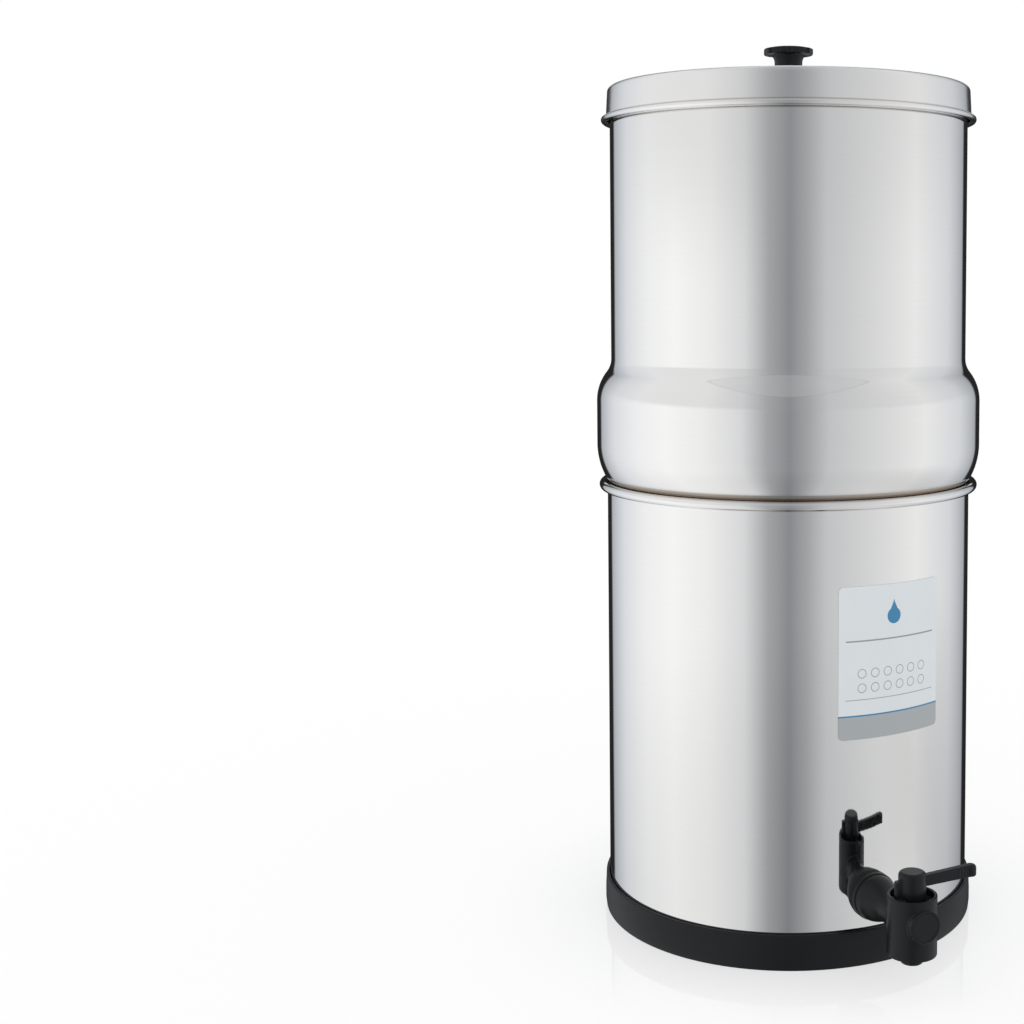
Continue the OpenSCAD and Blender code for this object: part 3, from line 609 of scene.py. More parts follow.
def swell_curve(settings, wall, inset):
    """The swell from toe to neck, as arcs on common tangents, moved inwards by the inset."""
    out = settings.swell_out
    low = settings.toe + settings.foot
    high = settings.shoulder + settings.neck
    low_turn = math.degrees(math.acos(1 - out / low))
    high_turn = math.degrees(math.acos(1 - out / high))
    toe_z = UPPER_LOW.z + settings.nest_depth
    foot_z = toe_z + low * math.sin(math.radians(low_turn))
    shoulder_z = foot_z + settings.band
    neck_z = shoulder_z + high * math.sin(math.radians(high_turn))
    toe = arc((wall + settings.toe, toe_z), settings.toe + inset, 180, 180 - low_turn)
    foot = arc((wall + out - settings.foot, foot_z), settings.foot - inset,
               -low_turn, 0, LONG_ARC_STEPS)
    shoulder = arc((wall + out - settings.shoulder, shoulder_z), settings.shoulder - inset,
                   0, high_turn, LONG_ARC_STEPS)
    neck = arc((wall + settings.neck, neck_z), settings.neck + inset, 180 + high_turn, 180)
    return toe + foot[1:] + shoulder + neck[1:]


def upper_profile(settings):
    """Closed outline of the upper chamber's sheet, with its swell and hem."""
    wall = UPPER_HIGH.x - settings.swell_out
    floor = UPPER_LOW.z
    centre = (wall - settings.corner, floor + settings.corner)
    hem = arc((wall - settings.hem, UPPER_HIGH.z - settings.hem), settings.hem, 0, 240, LONG_ARC_STEPS)
    outside = [(0, floor)] + arc(centre, settings.corner, -90, 0) + swell_curve(settings, wall, 0)
    inside = (swell_curve(settings, wall, settings.sheet)[::-1]
              + arc(centre, settings.corner - settings.sheet, 0, -90))
    return outside + hem + inside + [(0, floor + settings.sheet)]


def lid_profile(settings):
    """Closed outline of the lid, from the screw hole out and down to its bead."""
    bead = settings.lid_bead
    inner = LID_HIGH.x - 2 * bead
    wall = inner + settings.sheet
    top = LID_HIGH.z
    centre = (wall - settings.lid_draft - settings.lid_corner, top - settings.lid_corner)
    across = wall - inner - bead
    start = math.degrees(math.atan2(math.sqrt(bead ** 2 - across ** 2), across))
    outside = [(settings.lid_hole, top)] + arc(centre, settings.lid_corner, 90, 0)
    curl = arc((inner + bead, LID_LOW.z + bead), bead, start, -180, BEAD_STEPS)
    inside = arc(centre, settings.lid_corner - settings.sheet, 0, 90)
    return outside + curl + inside + [(settings.lid_hole, top - settings.sheet)]


def ring_profile(settings):
    """Closed outline of the base ring: ledge, tapered wall and rounded lip."""
    wall = RING_HIGH.x
    edge = settings.ring_edge
    foot = wall - settings.ring_taper
    inner = wall - settings.ring_wall
    lip = (foot - edge, RING_HIGH.z - edge)
    hole = settings.ring_hole
    return ([(hole, 0)] + arc((foot - edge, edge), edge, -90, -8, 6)
            + [(wall, settings.ring_ledge), (wall, RING_HIGH.z / 2)]
            + arc(lip, edge, 6, 90, 6)
            + [(inner + 0.3 * MM, RING_HIGH.z), (inner, RING_HIGH.z - RING_BEVEL),
               (inner, settings.ring_ledge), (hole + RING_BEVEL, settings.ring_ledge),
               (hole, settings.ring_ledge - RING_BEVEL)])


def knob_profile(settings):
    """Closed outline of the knob: stem, hollow flare, thin edge and low crown."""
    top = KNOB_HIGH.z
    radius = (KNOB_HIGH.x - KNOB_LOW.x) / 2
    side_z = top - settings.knob_crown
    edge_z = side_z - settings.knob_edge
    rounding = settings.knob_round
    start = settings.knob_stem + settings.knob_swell
    flare = []
    for i in range(FLARE_STEPS + 1):
        turn = math.radians(90 * i / FLARE_STEPS)
        flare.append((start + (settings.knob_flare_end - start) * (1 - math.cos(turn)),
                      edge_z - settings.knob_flare * (1 - math.sin(turn))))
    under = arc((radius - rounding, edge_z + rounding), rounding, -90, 0, 4)
    over = arc((radius - rounding, side_z - rounding), rounding, 0, 80, 5)
    crown = [(out * radius, top - drop * settings.knob_crown) for out, drop in CROWN]
    return [(0, KNOB_LOW.z), (settings.knob_stem, KNOB_LOW.z)] + flare + under + over + crown


# ---------------------------------------------------------------- piece making

def cut_holes(piece, holes):
    """Cuts round holes, each given as a centre, an axis, a radius and a depth."""
    for centre, axis, radius, depth in holes:
        drill_mesh = bpy.data.meshes.new("drill")
        work = bmesh.new()
        bmesh.ops.create_cone(work, cap_ends=True, segments=DRILL_SEGMENTS, radius1=radius,
                              radius2=radius, depth=depth)
        bmesh.ops.transform(work, matrix=Matrix.Translation(centre) @ turn_to(axis), verts=work.verts)
        work.to_mesh(drill_mesh)
        work.free()
        drill = new_object("drill", drill_mesh)
        cut = piece.modifiers.new("hole", "BOOLEAN")
        cut.operation = "DIFFERENCE"
        cut.solver = "EXACT"
        cut.object = drill
        bake(piece)
        bpy.data.objects.remove(drill)
    mend(piece.data, SAME_POINT)
    shade_mesh(piece.data)


def cast_copy(name, node, material, grain, passes, keep):
    """A copy of a CAD node as one casting, with its outer edges rounded and its inner corners filled.

    The grain is the size of the cells that the casting is made of, and of its faces the share kept stays.
    """
    piece = new_object(name, NODES[node].data.copy())
    mend(piece.data, 2 * SAME_POINT, outwards=False)
    skin = piece.modifiers.new("skin", "REMESH")
    skin.mode = "VOXEL"
    skin.voxel_size = grain
    rounded = piece.modifiers.new("rounded", "SMOOTH")
    rounded.factor = 0.5
    rounded.iterations = passes
    thinned = piece.modifiers.new("thinned", "DECIMATE")
    thinned.ratio = keep
    bake(piece)
    piece.data.materials.clear()
    piece.data.materials.append(material)
    piece.data.shade_smooth()
    return piece


def threads(name, material, feet, radius, pitch, long, axis=UPWARDS):
    """Threads of one size that start at the feet and climb along an axis."""
    turn = turn_to(axis)
    upright = [turn.inverted() @ Vector(foot) for foot in feet]
    piece = grow(name, tree_named("Screw Thread", thread_tree), {
        "Radius": radius, "Pitch": pitch, "Length": long, "Ridge": pitch * THREAD_RIDGE,
        "Steps": THREAD_STEPS, "Material": material}, upright)
    piece.data.transform(turn)
    mend(piece.data)
    return piece


def tree_named(name, make):
    """A geometry tree that is built once and then shared."""
    return bpy.data.node_groups.get(name) or make()


def spin(name, profile, segments, material, **more):
    """A closed profile turned about the Z axis, without scallops unless their sizes are given."""
    inputs = {"Segments": segments, "Lobes": 1, "Scallop": 0.0, "Scallop Radius": 1.0, "Scallop Floor": 9.0,
              "Material": material, **more}
    points = [(radius, 0, height) for radius, height in profile]
    piece = grow(name, tree_named("Spun Profile", spun_tree), inputs, points)
    mend(piece.data, SAME_POINT)
    shade_mesh(piece.data)
    return piece


# ---------------------------------------------------------------- steel, ring, knob and tap

class FILTER_OT_chambers(bpy.types.Operator):
    """Spin the two steel chambers and the lid from their profiles"""

    bl_idname = "filter.chambers"
    bl_label = "Steel Chambers and Lid"

    def execute(self, context):
        settings = context.scene.filter_steel
        # Bands of painted shade on the steel where the parts meet: height of each band's middle, its reach
        # and how dark it gets
        seat = (LOWER_HIGH.z, 4.2 * MM, 1)
        rim_top = (LOWER_HIGH.z, 1.2 * MM, 0.7)
        lid_edge = (LID_LOW.z, 1.1 * MM, 0.8)
        bead_top = (LID_LOW.z + 2 * settings.lid_bead, 0.8 * MM, 1)
        tap_hole = ((0, -LOWER_HIGH.x, middle_height("tap_outer_washer")), (0, 1, 0),
                    settings.tap_hole, TAP_DRILL)
        stem_holes = [(round_spot(settings.stem_circle, degrees, UPPER_LOW.z), UPWARDS,
                       settings.stem_hole, STEM_DRILL) for degrees in sorted(CANDLE_HOLES + PLUG_HOLES)]
        shells = (
            ("lower", "lower_chamber", lower_profile, settings.roughness, [rim_top], [tap_hole]),
            ("upper", "upper_chamber", upper_profile, settings.roughness, [seat, lid_edge], stem_holes),
            ("lid", "lid", lid_profile, settings.lid_roughness, [bead_top], []))
        for body, node, profile, roughness, shaded_folds, holes in shells:
            steel = polished_steel(f"{body.title()} Steel", settings, roughness, shaded_folds)
            shell = spin(f"{body}_shell", profile(settings), settings.segments, steel)
            if holes:
                cut_holes(shell, holes)
            settle(shell, body, "polished_steel", node)
        return {"FINISHED"}


class FILTER_OT_ring(bpy.types.Operator):
    """Mould the base ring"""

    bl_idname = "filter.ring"
    bl_label = "Base Ring"

    def execute(self, context):
        settings = context.scene.filter_moulding
        rubber = moulded("Ring Rubber", settings.rubber, 0.42, settings.edge_round, 0.1, 700,
                         settings.gloss)
        ring = spin("base_ring_moulding", ring_profile(settings), MOULDING_SEGMENTS, rubber)
        settle(ring, "lower", "ring_rubber", "base_ring")
        return {"FINISHED"}


class FILTER_OT_knob(bpy.types.Operator):
    """Mould the lid's scalloped knob"""

    bl_idname = "filter.knob"
    bl_label = "Lid Knob"

    def execute(self, context):
        settings = context.scene.filter_moulding
        plastic = moulded("Knob Plastic", settings.plastic, 0.3, settings.edge_round, 0.06,
                          gloss=settings.gloss)
        radius = (KNOB_HIGH.x - KNOB_LOW.x) / 2
        floor = KNOB_HIGH.z - settings.knob_crown - settings.knob_edge - 0.1 * MM
        knob = spin("lid_knob_moulding", knob_profile(settings), MOULDING_SEGMENTS, plastic, **{
            "Lobes": settings.knob_lobes, "Scallop": settings.knob_scallop,
            "Scallop Radius": radius, "Scallop Floor": floor})
        settle(knob, "lid", "knob_plastic", "lid_knob")
        return {"FINISHED"}


class FILTER_OT_tap(bpy.types.Operator):
    """Mould the tap's body, rotor and lever, thread its shank and paint its small pieces"""

    bl_idname = "filter.tap"
    bl_label = "Tap"

    def execute(self, context):
        settings = context.scene.filter_moulding
        fittings = context.scene.filter_fitting
        plastic = moulded("Tap Plastic", settings.plastic, 0.34, settings.edge_round, gloss=settings.gloss)
        seal = moulded("Seal Rubber", fittings.seal, 0.6, settings.edge_round, gloss=settings.gloss)
        castings = (("tap_body", "lower", 0.28 * MM, 0.45), ("tap_handle", "tap_lever", 0.2 * MM, 0.6),
                    ("tap_plug", "tap_lever", 0.28 * MM, 0.6), ("tap_badge", "lower", 0.14 * MM, 0.6))
        for node, body, grain, keep in castings:
            casting = cast_copy(f"{node}_moulding", node, plastic, grain, settings.melt, keep)
            settle(casting, body, "tap_plastic", node)
        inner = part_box("tap_lock_nut")[1].y
        pitch = fittings.shank_pitch
        foot = (0, inner + 0.5 * pitch, middle_height("tap_lock_nut"))
        cut = threads("shank_thread", plastic, [foot], settings.shank, pitch,
                      BODY_HIGH.y - inner - pitch, (0, 1, 0))
        settle(cut, "lower", "tap_plastic")
        paint_nodes(plastic, "tap_retainer", "tap_lock_nut")
        paint_nodes(seal, "tap_outer_washer", "tap_inner_washer", "tap_o_rings")
        return {"FINISHED"}


# ---------------------------------------------------------------- label

class FILTER_OT_label(bpy.types.Operator):
    """Wrap the label round the lower chamber"""

    bl_idname = "filter.label"
    bl_label = "Label"

    def execute(self, context):
        settings = context.scene.filter_label
        sticker = wrapped_label("label_sticker", settings, label_film(settings))
        settle(sticker, "lower", "label_film", "label")
        return {"FINISHED"}


def wrapped_label(name, settings, material):
    """A thin sticker with round corners, bent round the lower chamber, with its print's place as UV."""
    inner = lower_wall()
    back = inner + settings.glue
    face = back + settings.thickness
    low, high = LABEL_LOW.z, LABEL_HIGH.z
    half = settings.width / 2
    corner = settings.corner
    turns = [math.radians(90 * i / LABEL_CORNER_STEPS) for i in range(LABEL_CORNER_STEPS + 1)]
    edge = [(half - corner + corner * math.sin(t), corner - corner * math.cos(t)) for t in turns]
    flat = [i / LABEL_FLAT_STEPS * (half - corner) for i in range(LABEL_FLAT_STEPS)]
    right = [(x, 0.0) for x in flat] + edge
    columns = [(-x, inset) for x, inset in reversed(right[1:])] + right
    work = bmesh.new()
    print_place = work.loops.layers.uv.new("print")
    rows = {}
    for i, (across, inset) in enumerate(columns):
        turn = math.radians(settings.bearing) + across / inner
        side = Vector((math.sin(turn), -math.cos(turn), 0))
        for j, radius in enumerate((back, face)):
            for k in range(LABEL_ROWS + 1):
                z = low + inset + (high - low - 2 * inset) * k / LABEL_ROWS
                rows[i, j, k] = (work.verts.new(side * radius + Vector((0, 0, z))),
                                 (across + half, z - low))
    last = len(columns) - 1

    def panel(*keys):
        made = work.faces.new([rows[key][0] for key in keys])
        for loop, key in zip(made.loops, keys):
            x, z = rows[key][1]
            loop[print_place].uv = (x / (high - low), z / (high - low))

    for i in range(last):
        for k in range(LABEL_ROWS):
            panel((i, 1, k), (i + 1, 1, k), (i + 1, 1, k + 1), (i, 1, k + 1))
            panel((i, 0, k), (i, 0, k + 1), (i + 1, 0, k + 1), (i + 1, 0, k))
        panel((i, 0, 0), (i + 1, 0, 0), (i + 1, 1, 0), (i, 1, 0))
        panel((i, 0, LABEL_ROWS), (i, 1, LABEL_ROWS), (i + 1, 1, LABEL_ROWS), (i + 1, 0, LABEL_ROWS))
    for k in range(LABEL_ROWS):
        panel((0, 0, k), (0, 1, k), (0, 1, k + 1), (0, 0, k + 1))
        panel((last, 0, k), (last, 0, k + 1), (last, 1, k + 1), (last, 1, k))
    bmesh.ops.recalc_face_normals(work, faces=work.faces)
    mesh = bpy.data.meshes.new(name)
    work.to_mesh(mesh)
    work.free()
    mesh.materials.append(material)
    shade_mesh(mesh)
    return new_object(name, mesh)


def stripe(tree, value, low, high):
    """1 where a value lies between two numbers."""
    return both(tree, calc(tree, "GREATER_THAN", value, low), calc(tree, "LESS_THAN", value, high))


def both(tree, first, second):
    """1 where both masks are 1."""
    return calc(tree, "MULTIPLY", first, second)


def distance(tree, x, y, centre_x, centre_y):
    """How far a point of the print or floor lies from another."""
    across = calc(tree, "SUBTRACT", x, centre_x)
    up = calc(tree, "SUBTRACT", y, centre_y)
    return calc(tree, "SQRT", calc(tree, "ADD", calc(tree, "MULTIPLY", across, across),
                                   calc(tree, "MULTIPLY", up, up)))


def drop_mask(tree, x, y, centre_x, centre_y, radius):
    """A water drop: a round belly under a point."""
    belly = calc(tree, "LESS_THAN", distance(tree, x, y, centre_x, centre_y), radius)
    up = calc(tree, "DIVIDE", calc(tree, "SUBTRACT", y, centre_y), DROP_TIP * radius)
    slim = calc(tree, "POWER", calc(tree, "SUBTRACT", 1, calc(tree, "MAXIMUM", up, 0)), DROP_TAPER)
    side = calc(tree, "ABSOLUTE", calc(tree, "SUBTRACT", x, centre_x))
    neck = calc(tree, "LESS_THAN", side, calc(tree, "MULTIPLY", slim, radius))
    cone = both(tree, neck, stripe(tree, up, 0, 1))
    return calc(tree, "MAXIMUM", belly, cone)


def ring_marks(tree, x, y, settings):
    """Two rows of small rings in the middle of the label."""
    pitch = settings.mark_pitch / MM
    low = settings.marks_low / MM
    wide = settings.mark_columns * pitch
    left = (settings.width / MM - wide) / 2
    local_x = calc(tree, "FLOORED_MODULO", calc(tree, "SUBTRACT", x, left), pitch)
    local_y = calc(tree, "FLOORED_MODULO", calc(tree, "SUBTRACT", y, low), pitch)
    from_middle = distance(tree, local_x, local_y, pitch / 2, pitch / 2)
    out = calc(tree, "ABSOLUTE", calc(tree, "SUBTRACT", from_middle, settings.mark / MM))
    line = calc(tree, "LESS_THAN", out, settings.line / MM / 2)
    inside = both(tree, stripe(tree, x, left, left + wide), stripe(tree, y, low, low + 2 * pitch))
    return both(tree, line, inside)


def label_film(settings):
    """Satin film with a plain print: a drop, two rules, rows of rings and a foot band."""
    material, tree, shader = new_material("Label Film")
    place = apart(tree, add(tree, "ShaderNodeUVMap", uv_map="print").outputs[0])
    tall = (LABEL_HIGH.z - LABEL_LOW.z) / MM
    x, y = (calc(tree, "MULTIPLY", place[axis], tall) for axis in ("X", "Y"))
    width, rule, margin, line, band, marks_low = (
        getattr(settings, name) / MM
        for name in ("width", "rule", "margin", "line", "band_height", "marks_low"))
    long_rule = stripe(tree, y, rule - line, rule + line)
    low_rule = stripe(tree, y, marks_low - LOW_RULE[0], marks_low - LOW_RULE[1])
    rules = both(tree, stripe(tree, x, margin, width - margin), calc(tree, "MAXIMUM", long_rule, low_rule))
    ink = calc(tree, "MAXIMUM", rules, ring_marks(tree, x, y, settings))
    drop = drop_mask(tree, x, y, width / 2, (rule + tall) / 2 - DROP_DOWN, settings.drop / MM)
    foot = calc(tree, "LESS_THAN", y, band)
    edge = stripe(tree, y, band, band + 2 * line)
    wear = noise(tree, object_place(tree), 60, 4, 0.6)
    colours = two_tone(tree, wear, settings.film, 0.975, 1.02)
    for mask, tint in ((foot, settings.band), (edge, settings.accent), (ink, settings.ink),
                       (drop, settings.accent)):
        colours = mixed(tree, mask, colours, shade(tint, 1))
    skin = noise(tree, object_place(tree), 2600, 2, 0.5)
    dress(tree, shader, colours, between(tree, wear, 0.34, 0.48), skin, 0.1, 0.02 * MM)
    return material


# ---------------------------------------------------------------- fittings

class FILTER_OT_fittings(bpy.types.Operator):
    """Paint the candles, plugs, seals and screw, and cut their threads"""

    bl_idname = "filter.fittings"
    bl_label = "Candles, Plugs and Screw"

    def execute(self, context):
        settings = context.scene.filter_fitting
        edge = context.scene.filter_moulding.edge_round
        ceramic = porous_ceramic(settings.ceramic)
        carbon = moulded("Candle Carbon", settings.carbon, 0.9, edge, 0.5)
        mount = moulded("Mount Plastic", settings.mount, 0.32, edge, 0.04)
        silicone = moulded("Seal Silicone", settings.silicone, 0.5, edge, 0.05)
        screw = turned_metal(settings.screw)
        for number in (1, 2):
            paint_nodes(ceramic, f"candle_{number}_shell")
            paint_nodes(carbon, f"candle_{number}_core")
            paint_nodes(mount, f"candle_{number}_mount", f"candle_{number}_wing_nut")
            paint_nodes(silicone, f"candle_{number}_washer")
        paint_nodes(mount, "blanking_plugs", "blanking_nuts")
        paint_nodes(silicone, "blanking_washers")
        paint_nodes(screw, "knob_screw", "knob_washer")
        stems = (("candle_stem_threads", "candle_1_mount", "candle_1_wing_nut", CANDLE_HOLES),
                 ("plug_stem_threads", "blanking_plugs", "blanking_nuts", PLUG_HOLES))
        pitch = settings.stem_pitch
        circle = context.scene.filter_steel.stem_circle
        for name, stem, nut, holes in stems:
            foot_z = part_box(stem)[0].z + 0.5 * pitch
            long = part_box(nut)[0].z - foot_z - 0.5 * pitch
            feet = [round_spot(circle, degrees, foot_z) for degrees in holes]
            settle(threads(name, mount, feet, settings.stem, pitch, long), "upper", "mount_plastic")
        return {"FINISHED"}


# ---------------------------------------------------------------- stage

# Where the camera stands, in lower-chamber radii, and how it is turned, in degrees
CAMERA_BEARING = -25.4
CAMERA_DISTANCE = 8.771
CAMERA_HEIGHT = 3.471
CAMERA_PITCH = 4.259
CAMERA_YAW = -1.014
CAMERA_ROLL = 0.013
CAMERA_LENS = 55.61
# The pixel of the render that the camera's axis goes through, and the render's size
FRAME_CENTRE_X = 760
FRAME_CENTRE_Y = 400
FRAME_SIZE = 1024

# The studio that the steel mirrors: bearing from the camera in degrees, positive to its right, level at
# eye height, level overhead, and how cool the light is. A dark gap lies at the camera, panels stand left
# and right of it, and black flags behind the object draw its edges.
STUDIO = [
    (-180, 0.02, 0.02, 0.0), (-151, 0.02, 0.02, 0.0), (-148, 0.47, 0.45, 1.0), (-125, 0.81, 0.76, 0.6),
    (-100, 0.98, 0.87, 0.1), (-76, 1.05, 0.86, 0.0), (-50, 0.96, 0.84, 0.0), (-27, 0.78, 0.69, 0.2),
    (-12, 0.42, 0.42, 0.4), (1, 0.29, 0.30, 0.7), (12, 0.42, 0.42, 0.4), (24, 0.62, 0.60, 0.3),
    (87, 0.92, 0.84, 0.0), (122, 0.75, 0.69, 0.5), (148, 0.42, 0.40, 1.0), (151, 0.02, 0.02, 0.0),
    (180, 0.02, 0.02, 0.0)]
# How much darker the floor looks in the steel near the ring, by bearing in degrees: a painted shadow round
# the object that only the steel's reflections see. It fades with the distance from a spot a little to the
# side.
FLOOR_REFLECTED_SHADOW = [(-180, 0.05), (-110, 0.08), (-85, 0.12), (-60, 0.14), (-40, 0.13), (-18, 0.09), (0, 0.18),
               (14, 0.11), (28, 0.09), (50, 0.12), (72, 0.25), (88, 0.25), (100, 0.21), (115, 0.15),
               (130, 0.11), (180, 0.05)]
FLOOR_ASIDE = 0.12
FLOOR_FAR = 0.95
FLOOR_NEAR = 0.10
FLOOR_SEGMENTS = 96
FLOOR_GLOSS = 0.04
# How much red, green and blue change in light that is fully cool
COOL = (-0.06, 0.0, 0.07)
# Heights, as the Z part of a direction, between which each tier fades in
STEEP = (-0.86, -0.95)
STEEP_TINT = (0.44, 0.41, 0.38, 1)
OVERHEAD = (0.03, 0.18)
# How far the panels lean over the object, which keeps the gap between them as wide overhead
LEAN = 0.4
ABOVE_FLAGS = (0.17, 0.22)
# Shares of a turn from the camera between which the ceiling fades in over the flags
BEHIND = (0.43, 0.46)
# Level and coolness of the ceiling and of the lamp
CEILING = (0.74, 0.6)
LAMP = (0.59, 0.3)
# The round lamp overhead, as slopes from the vertical: its middle and half size aside, then those ahead
LAMP_ASIDE = (0.0, 0.64)
LAMP_AHEAD = (0.32, 1.1)
# How much of the lamp and of its dark rim shows, and how wide the rim is
LAMP_SHARE = 0.24
RIM_SHARE = 0.10
RIM_WIDTH = 0.03


class FILTER_OT_stage(bpy.types.Operator):
    """Lay the floor, light the studio and set up the camera"""

    bl_idname = "filter.stage"
    bl_label = "Stage"

    def execute(self, context):
        settings = context.scene.filter_stage
        lay_floor(settings)
        light_studio(context.scene, settings)
        place_camera(context.scene)
        context.scene.view_settings.view_transform = "Standard"
        return {"FINISHED"}


def lay_floor(settings):
    """A white floor that keeps the object's shadow, mirrors it near the ring, and carries a painted shadow
    that only the steel's reflections see.
    """
    mesh = bpy.data.meshes.new("floor")
    work = bmesh.new()
    bmesh.ops.create_circle(work, cap_ends=True, segments=FLOOR_SEGMENTS, radius=settings.floor_radius)
    work.to_mesh(mesh)
    work.free()
    floor = new_object("floor", mesh)
    material, tree, shader = new_material("Floor")
    shader.inputs["Base Color"].default_value = shade(settings.floor, 1)
    shader.inputs["Roughness"].default_value = 1
    shader.inputs["Specular IOR Level"].default_value = 0
    path = add(tree, "ShaderNodeLightPath")
    open_floor = settings.floor[0] * settings.ambient
    fill = (1 - settings.shadow * open_floor) / (1 - settings.shadow)
    white = add(tree, "ShaderNodeEmission", {"Color": WHITE, "Strength": fill})
    seen = calc(tree, "MULTIPLY", path.outputs["Is Camera Ray"], 1 - settings.shadow)
    lit = mixed_shader(tree, seen, shader, white)
    x, y, _ = from_camera(tree, object_place(tree))
    fade = smooth_step(tree, distance(tree, x, y, 0, 0), RING_HIGH.x, RING_HIGH.x + settings.mirror_reach,
                       settings.mirror, 0)
    gloss = add(tree, "ShaderNodeBsdfGlossy", {"Color": WHITE, "Roughness": FLOOR_GLOSS})
    shown = mixed_shader(tree, calc(tree, "MULTIPLY", fade, path.outputs["Is Camera Ray"]), lit, gloss)
    # Painted shadow round the ring, which the floor shows only to the steel's reflections
    stops = [(degrees, cooled(level, 0)) for degrees, level in FLOOR_REFLECTED_SHADOW]
    depth = bearing_ramp(tree, bearing_of(tree, x, y), stops)
    near = smooth_step(tree, distance(tree, x, y, 0, FLOOR_ASIDE), FLOOR_FAR, FLOOR_NEAR)
    tone = calc(tree, "SUBTRACT", 1, calc(tree, "MULTIPLY", near, depth))
    through = add(tree, "ShaderNodeBsdfTransparent", {"Color": tone})
    result = mixed_shader(tree, path.outputs["Is Glossy Ray"], shown, through)
    output = next(n for n in tree.nodes if n.bl_idname == "ShaderNodeOutputMaterial")
    tree.links.new(result.outputs[0], output.inputs["Surface"])
    mesh.materials.append(material)


def mixed_shader(tree, amount, first, second):
    """The first node's shader where the amount is 0, and the second's where it is 1."""
    return add(tree, "ShaderNodeMixShader", {0: amount, 1: first.outputs[0], 2: second.outputs[0]})


def cooled(level, cool):
    """A grey level as a colour, cooler by the given share."""
    return (*(level * (1 + cool * part) for part in COOL), 1)


def bearing_ramp(tree, bearing, stops):
    """Colours by bearing from the camera, each given with its bearing in degrees."""
    ramp = tree.nodes.new("ShaderNodeValToRGB")
    feed(tree, ramp.inputs["Fac"], bearing)
    elements = ramp.color_ramp.elements
    for i, (degrees, tint) in enumerate(stops):
        place = degrees / 360 + 0.5
        stop = elements[i] if i < 2 else elements.new(place)
        stop.position = place
        stop.color = tint
    return ramp.outputs["Color"]


def from_camera(tree, vector):
    """A place or direction as its parts towards the camera, aside and up."""
    facing = math.radians(90 - CAMERA_BEARING)
    turned = add(tree, "ShaderNodeVectorRotate", {"Vector": vector, "Angle": facing},
                 rotation_type="Z_AXIS")
    return apart(tree, turned.outputs[0])


def bearing_of(tree, towards, aside):
    """The bearing from the camera as a share of a turn, 0.5 straight towards it."""
    return calc(tree, "ADD", calc(tree, "DIVIDE", calc(tree, "ARCTAN2", aside, towards), ROUND), 0.5)


def lamp_place(tree, towards, aside, up):
    """How far out on the overhead lamp a direction points: 1 at its edge, and far out below the horizon."""
    height = calc(tree, "MAXIMUM", up, 0.001)
    parts = []
    for part, (middle, half) in ((aside, LAMP_ASIDE), (towards, LAMP_AHEAD)):
        slope = calc(tree, "SUBTRACT", calc(tree, "DIVIDE", part, height), middle)
        parts.append(calc(tree, "POWER", calc(tree, "DIVIDE", slope, half), 2))
    return calc(tree, "SQRT", calc(tree, "ADD", *parts))


def light_studio(scene, settings):
    """White behind the object, even light on matt surfaces, and a studio for the steel to mirror."""
    world = bpy.data.worlds.new("Studio")
    scene.world = world
    world.use_nodes = True
    tree = world.node_tree
    tree.nodes.clear()
    path = add(tree, "ShaderNodeLightPath")
    direction = add(tree, "ShaderNodeTexCoord").outputs["Generated"]
    towards, aside, up = from_camera(tree, direction)
    lean = calc(tree, "MULTIPLY", calc(tree, "POWER", calc(tree, "MAXIMUM", up, 0), 3), LEAN)
    bearing = bearing_of(tree, calc(tree, "ADD", towards, lean), aside)
    level_ramp, overhead_ramp = (
        bearing_ramp(tree, bearing, [(stop[0], cooled(stop[column], stop[3])) for stop in STUDIO])
        for column in (1, 2))
    panels = mixed(tree, smooth_step(tree, up, *OVERHEAD), level_ramp, overhead_ramp)
    panels = mixed(tree, smooth_step(tree, up, *STEEP), panels, STEEP_TINT, "MULTIPLY")
    behind = smooth_step(tree, calc(tree, "ABSOLUTE", calc(tree, "SUBTRACT", bearing, 0.5)), *BEHIND)
    above = smooth_step(tree, up, *ABOVE_FLAGS)
    panels = mixed(tree, calc(tree, "MULTIPLY", above, behind), panels, cooled(*CEILING))
    lamp = lamp_place(tree, towards, aside, up)
    disc = calc(tree, "MULTIPLY", calc(tree, "LESS_THAN", lamp, 1), LAMP_SHARE)
    panels = mixed(tree, disc, panels, cooled(*LAMP))
    rim = calc(tree, "MULTIPLY", calc(tree, "COMPARE", lamp, 1, RIM_WIDTH), RIM_SHARE)
    panels = mixed(tree, rim, panels, BLACK)
    level = settings.ambient
    matt = mixed(tree, path.outputs["Is Glossy Ray"], (level, level, level, 1), panels)
    final = mixed(tree, path.outputs["Is Camera Ray"], matt, WHITE)
    background = add(tree, "ShaderNodeBackground", {"Color": final, "Strength": 1})
    output = tree.nodes.new("ShaderNodeOutputWorld")
    tree.links.new(background.outputs[0], output.inputs["Surface"])


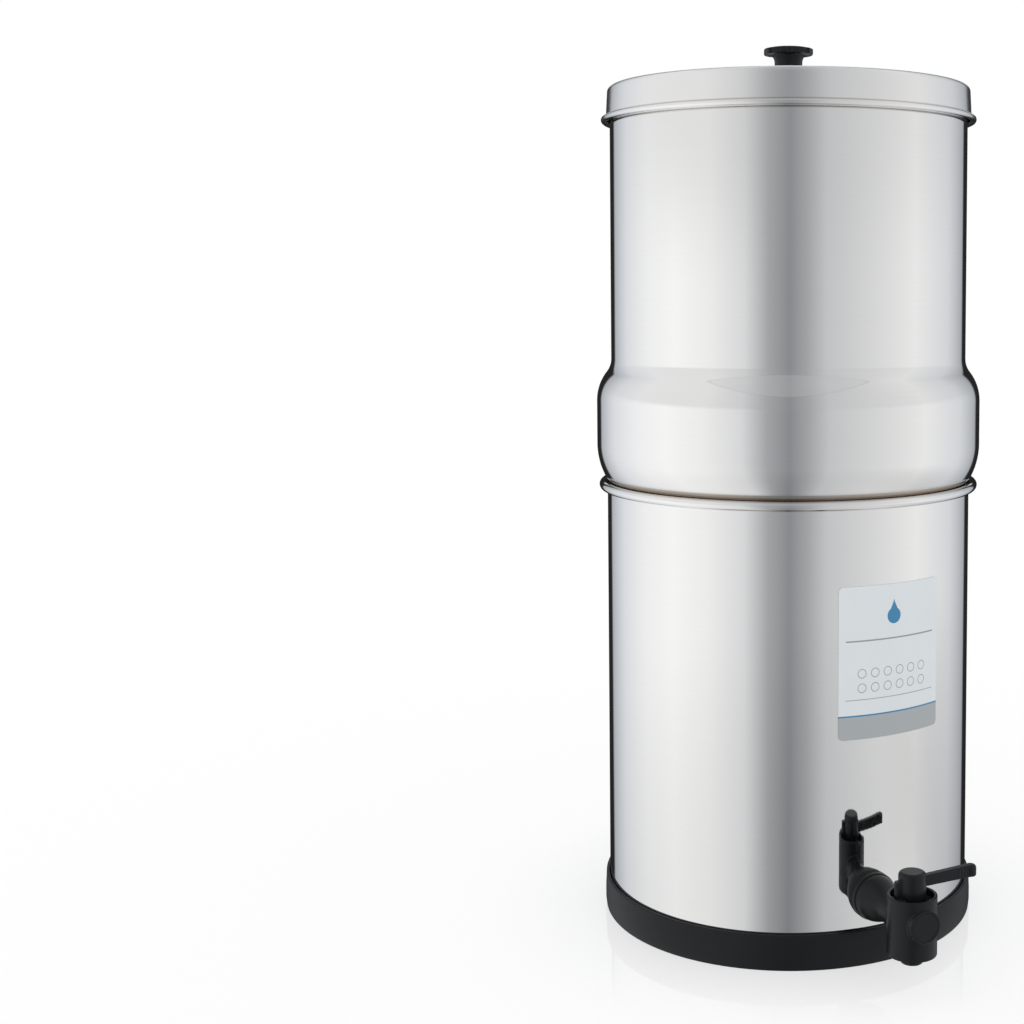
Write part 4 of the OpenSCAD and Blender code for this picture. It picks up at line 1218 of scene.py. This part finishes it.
def place_camera(scene):
    """The camera to the left of the tap, level with the upper chamber and looking slightly down."""
    unit = lower_wall()
    data = bpy.data.cameras.new("camera")
    data.sensor_width = 36
    data.lens = CAMERA_LENS
    data.shift_x = (0.5 * FRAME_SIZE - FRAME_CENTRE_X) / FRAME_SIZE
    data.shift_y = (FRAME_CENTRE_Y - 0.5 * FRAME_SIZE) / FRAME_SIZE
    camera = new_object("camera", data)
    yaw, pitch, roll = (math.radians(turn) for turn in (CAMERA_YAW, CAMERA_PITCH, CAMERA_ROLL))
    forward = Vector((math.sin(yaw) * math.cos(pitch), math.cos(yaw) * math.cos(pitch), -math.sin(pitch)))
    right = Vector((math.cos(yaw), -math.sin(yaw), 0))
    up = right.cross(forward)
    rolled_right = right * math.cos(roll) + up * math.sin(roll)
    rolled_up = up * math.cos(roll) - right * math.sin(roll)
    axes = Matrix((rolled_right, rolled_up, -forward)).transposed().to_4x4()
    spot = Matrix.Translation((0, -CAMERA_DISTANCE * unit, CAMERA_HEIGHT * unit))
    bearing = Matrix.Rotation(math.radians(CAMERA_BEARING), 4, "Z")
    camera.matrix_world = bearing @ spot @ axes
    scene.camera = camera


# ---------------------------------------------------------------- panel and registration

class FILTER_PT_panel(bpy.types.Panel):
    """Lists what builds the filter and what can be set"""

    bl_idname = "FILTER_PT_panel"
    bl_label = "Gravity Water Filter"
    bl_space_type = "VIEW_3D"
    bl_region_type = "UI"
    bl_category = "Water Filter"

    def draw(self, context):
        for operator in OPERATORS:
            self.layout.operator(operator.bl_idname)
        for name in SETTINGS:
            box = self.layout.box()
            group = getattr(context.scene, name)
            for key in group.__annotations__:
                box.prop(group, key)


OPERATORS = [FILTER_OT_stage, FILTER_OT_chambers, FILTER_OT_ring, FILTER_OT_knob, FILTER_OT_tap,
             FILTER_OT_label, FILTER_OT_fittings]


def register():
    """Registers the settings, the operators and the panel."""
    for name, group in SETTINGS.items():
        bpy.utils.register_class(group)
        setattr(bpy.types.Scene, name, bpy.props.PointerProperty(type=group))
    for operator in OPERATORS:
        bpy.utils.register_class(operator)
    bpy.utils.register_class(FILTER_PT_panel)


def unregister():
    """Takes them out again."""
    bpy.utils.unregister_class(FILTER_PT_panel)
    for operator in reversed(OPERATORS):
        bpy.utils.unregister_class(operator)
    for name, group in SETTINGS.items():
        delattr(bpy.types.Scene, name)
        bpy.utils.unregister_class(group)


def main():
    """Builds everything."""
    register()
    bpy.ops.filter.stage()
    bpy.ops.filter.chambers()
    bpy.ops.filter.ring()
    bpy.ops.filter.knob()
    bpy.ops.filter.tap()
    bpy.ops.filter.label()
    bpy.ops.filter.fittings()


if __name__ == "__main__":
    main()
